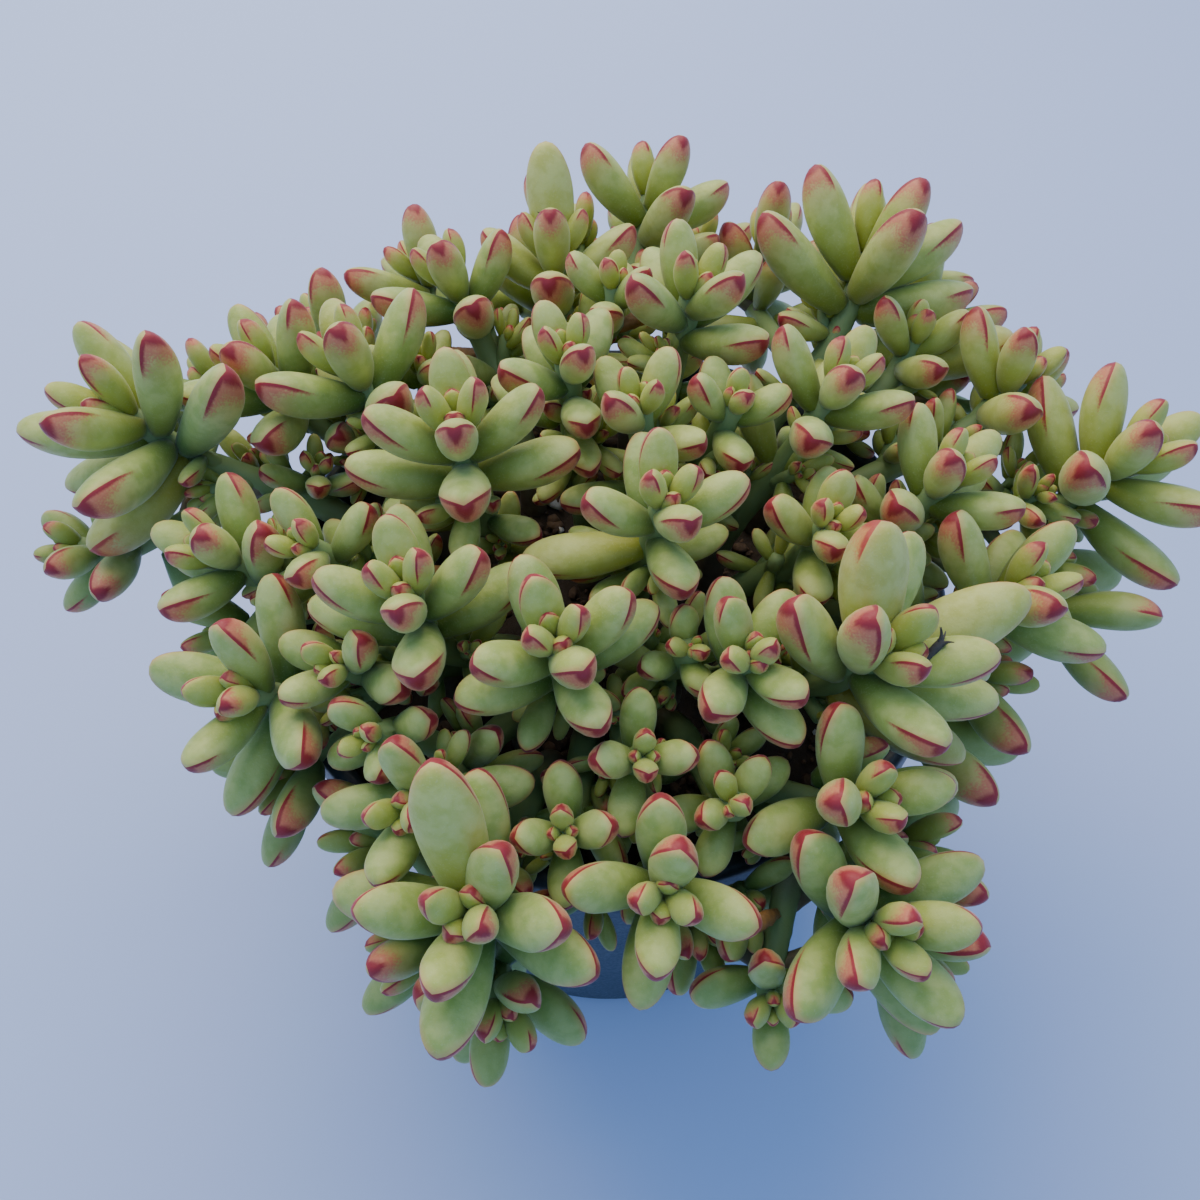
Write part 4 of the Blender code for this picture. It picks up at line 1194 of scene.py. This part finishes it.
def make_pot():
    """The pot turned fine, its corners rounded as moulded plastic's are, with its drain holes."""
    lip_foot = POT_HEIGHT - LIP_HEIGHT
    at_lip = inner_radius(lip_foot) + WALL
    floor = RECESS + WALL
    outline = (
        (inner_radius(POT_HEIGHT), POT_HEIGHT - LIP_EDGE),
        (inner_radius(POT_HEIGHT) + LIP_EDGE, POT_HEIGHT),
        (RIM_RADIUS - LIP_EDGE, POT_HEIGHT),
        (RIM_RADIUS, POT_HEIGHT - LIP_EDGE),
        (RIM_RADIUS - LIP_TAPER, lip_foot),
        (at_lip, lip_foot - LIP_TAPER),
        (BASE_RADIUS + LIP_TAPER, FOOT_EDGE),
        (BASE_RADIUS - FOOT_EDGE / 2, 0.0),
        (BASE_RADIUS - FOOT_WIDTH, 0.0),
        (BASE_RADIUS - FOOT_WIDTH - RECESS, RECESS),
        (CENTRE_RADIUS + RECESS, RECESS),
        (CENTRE_RADIUS, 0.0),
        (0.0, 0.0),
        (0.0, floor),
        (inner_radius(floor) - FLOOR_EDGE, floor),
        (inner_radius(floor + FLOOR_EDGE), floor + FLOOR_EDGE),
    )
    pot = turned("nursery_pot", rounded(outline, 0.7), POT_SIDES)
    grid = bmesh.new()
    for hole in range(DRAIN_HOLES):
        angle = 2 * math.pi * (hole + 0.5) / DRAIN_HOLES
        place = (DRAIN_RING * math.cos(angle), DRAIN_RING * math.sin(angle), floor)
        made = bmesh.ops.create_cone(
            grid, cap_ends=True, segments=32, radius1=DRAIN_RADIUS * MM, radius2=DRAIN_RADIUS * MM, depth=8 * MM
        )
        bmesh.ops.translate(grid, verts=made["verts"], vec=Vector(place) * MM)
    mesh = bpy.data.meshes.new("drain holes")
    grid.to_mesh(mesh)
    grid.free()
    cutter = bpy.data.objects.new("drain holes", mesh)
    bpy.context.scene.collection.objects.link(cutter)
    cut = pot.modifiers.new("drain holes", "BOOLEAN")
    cut.object = cutter
    cut.operation = "DIFFERENCE"
    graph = bpy.context.evaluated_depsgraph_get()
    drilled = bpy.data.meshes.new_from_object(pot.evaluated_get(graph))
    pot.modifiers.clear()
    pot.data = drilled
    bpy.data.objects.remove(cutter)
    drilled.shade_smooth()
    drilled.set_sharp_from_angle(angle=math.radians(32))
    drilled.materials.clear()
    drilled.materials.append(pot_material())
    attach(pot, "root")
    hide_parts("pot")


def make_mix():
    """The plug of mix with a crumbly top, grains lying on it, and a few pale ones."""
    draw = np.random.default_rng(SEED + 1)
    edge = inner_radius(SOIL_TOP) - 0.5
    flat = np.linspace(0.02, 1, 44)[:, None] * edge
    sides = 150
    around = -np.linspace(0, 2 * math.pi, sides, endpoint=False)[None]
    x, y = flat * np.cos(around), flat * np.sin(around)
    relief = np.zeros_like(x)
    for wave in range(60):
        pitch = 2 * math.pi / draw.uniform(2.5, 22)
        turn = draw.uniform(0, 2 * math.pi)
        depth = 1.3 / pitch * 0.035
        relief += depth * np.sin((x * math.cos(turn) + y * math.sin(turn)) * pitch + draw.uniform(0, 7))
    z = SOIL_TOP + SOIL_CROWN * (1 - (flat / edge) ** 2) + np.clip(relief, -1.2, 1.2)
    top = np.stack((x, y, z), -1)
    rows = [top]
    foot = RECESS + WALL + 0.3
    for height in np.linspace(SOIL_TOP - 2, foot + FLOOR_EDGE, 12):
        radius = inner_radius(height) - 0.3
        ring = np.stack((radius * np.cos(around), radius * np.sin(around), np.full_like(around, height)), -1)
        rows.append(ring)
    radius = inner_radius(foot) - FLOOR_EDGE - 0.3
    rows.append(np.stack((radius * np.cos(around), radius * np.sin(around), np.full_like(around, foot)), -1))
    points = np.concatenate(rows)
    ends = ((0, 0, z[0].mean()), (0, 0, foot))
    count = len(points)
    points = np.concatenate((points.reshape(-1, 3), ends))
    sheaf = Sheaf()
    sheaf.add(points, count, sides, np.zeros((len(points), 3)), (0, 0, 0), 0)
    for crumb in range(CRUMBS):
        far = (edge - 2.5) * math.sqrt(draw.random())
        turn = draw.uniform(0, 2 * math.pi)
        size = CRUMB_RADII[0] + (CRUMB_RADII[1] - CRUMB_RADII[0]) * draw.random() ** 3
        shape = size * draw.uniform((0.7, 0.5, 0.35), (1.5, 1.0, 0.7))
        level = SOIL_TOP + SOIL_CROWN * (1 - (far / edge) ** 2) + draw.uniform(-0.2, 0.6) * shape[2] + 0.3
        theta = np.linspace(0, math.pi, 5)[1:-1][:, None]
        phi = np.linspace(0, 2 * math.pi, 7, endpoint=False)[None]
        ball = np.stack((np.sin(theta) * np.cos(phi), np.sin(theta) * np.sin(phi), -np.cos(theta) * np.ones_like(phi)), -1)
        ball = np.concatenate((ball.reshape(-1, 3), ((0, 0, -1), (0, 0, 1))))
        ball = ball * draw.uniform(0.75, 1.2, (len(ball), 1)) * shape
        spin, tip = draw.uniform(0, 2 * math.pi), draw.uniform(-0.4, 0.4)
        c, d = math.cos(spin), math.sin(spin)
        e, f = math.cos(tip), math.sin(tip)
        ball = ball @ np.array(((e, 0, -f), (0, 1, 0), (f, 0, e))) @ np.array(((c, d, 0), (-d, c, 0), (0, 0, 1)))
        ball += (far * math.cos(turn), far * math.sin(turn), level)
        pale = draw.random() < PALE_SHARE
        sheaf.add(ball, 3, 7, np.zeros((len(ball), 3)), (0, draw.random(), 0), 2 if pale else 1)
    made = sheaf.object("compost", (mix_material(), crumb_material(), grain_material()))
    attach(made, "root")
    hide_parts("potting_mix")


def main():
    materials = (leaf_material(), stem_material(), dry_material(), dry_leaf_material())
    make_plant(materials)
    make_pot()
    make_mix()
    make_studio()


def make_studio():
    bpy.ops.mesh.primitive_plane_add(size=6)
    floor = bpy.context.object
    floor.name = "floor"
    floor.data.materials.append(floor_material())
    world = bpy.data.worlds.new("soft sky")
    world.use_nodes = True
    world.node_tree.nodes["Background"].inputs[0].default_value = SKY_COLOUR
    world.node_tree.nodes["Background"].inputs[1].default_value = SKY_STRENGTH
    bpy.context.scene.world = world
    lamp = bpy.data.lights.new("soft key", "AREA")
    lamp.energy = KEY_POWER
    lamp.size = KEY_SIZE
    lamp.color = KEY_COLOUR
    key = bpy.data.objects.new("soft key", lamp)
    key.location = KEY_PLACE
    key.rotation_euler = (Vector((0, 0, 0.13)) - key.location).to_track_quat("-Z", "Y").to_euler()
    bpy.context.scene.collection.objects.link(key)
    eye = bpy.data.cameras.new("camera")
    eye.lens = LENS
    eye.sensor_width = SENSOR
    eye.clip_start = 0.01
    camera = bpy.data.objects.new("camera", eye)
    rise = math.radians(CAMERA_RISE)
    camera.location = Vector(CAMERA_TARGET) + Vector((0, -math.cos(rise), math.sin(rise))) * CAMERA_REACH
    camera.rotation_euler = (math.pi / 2 - rise, 0, 0)
    bpy.context.scene.collection.objects.link(camera)
    bpy.context.scene.camera = camera


main()
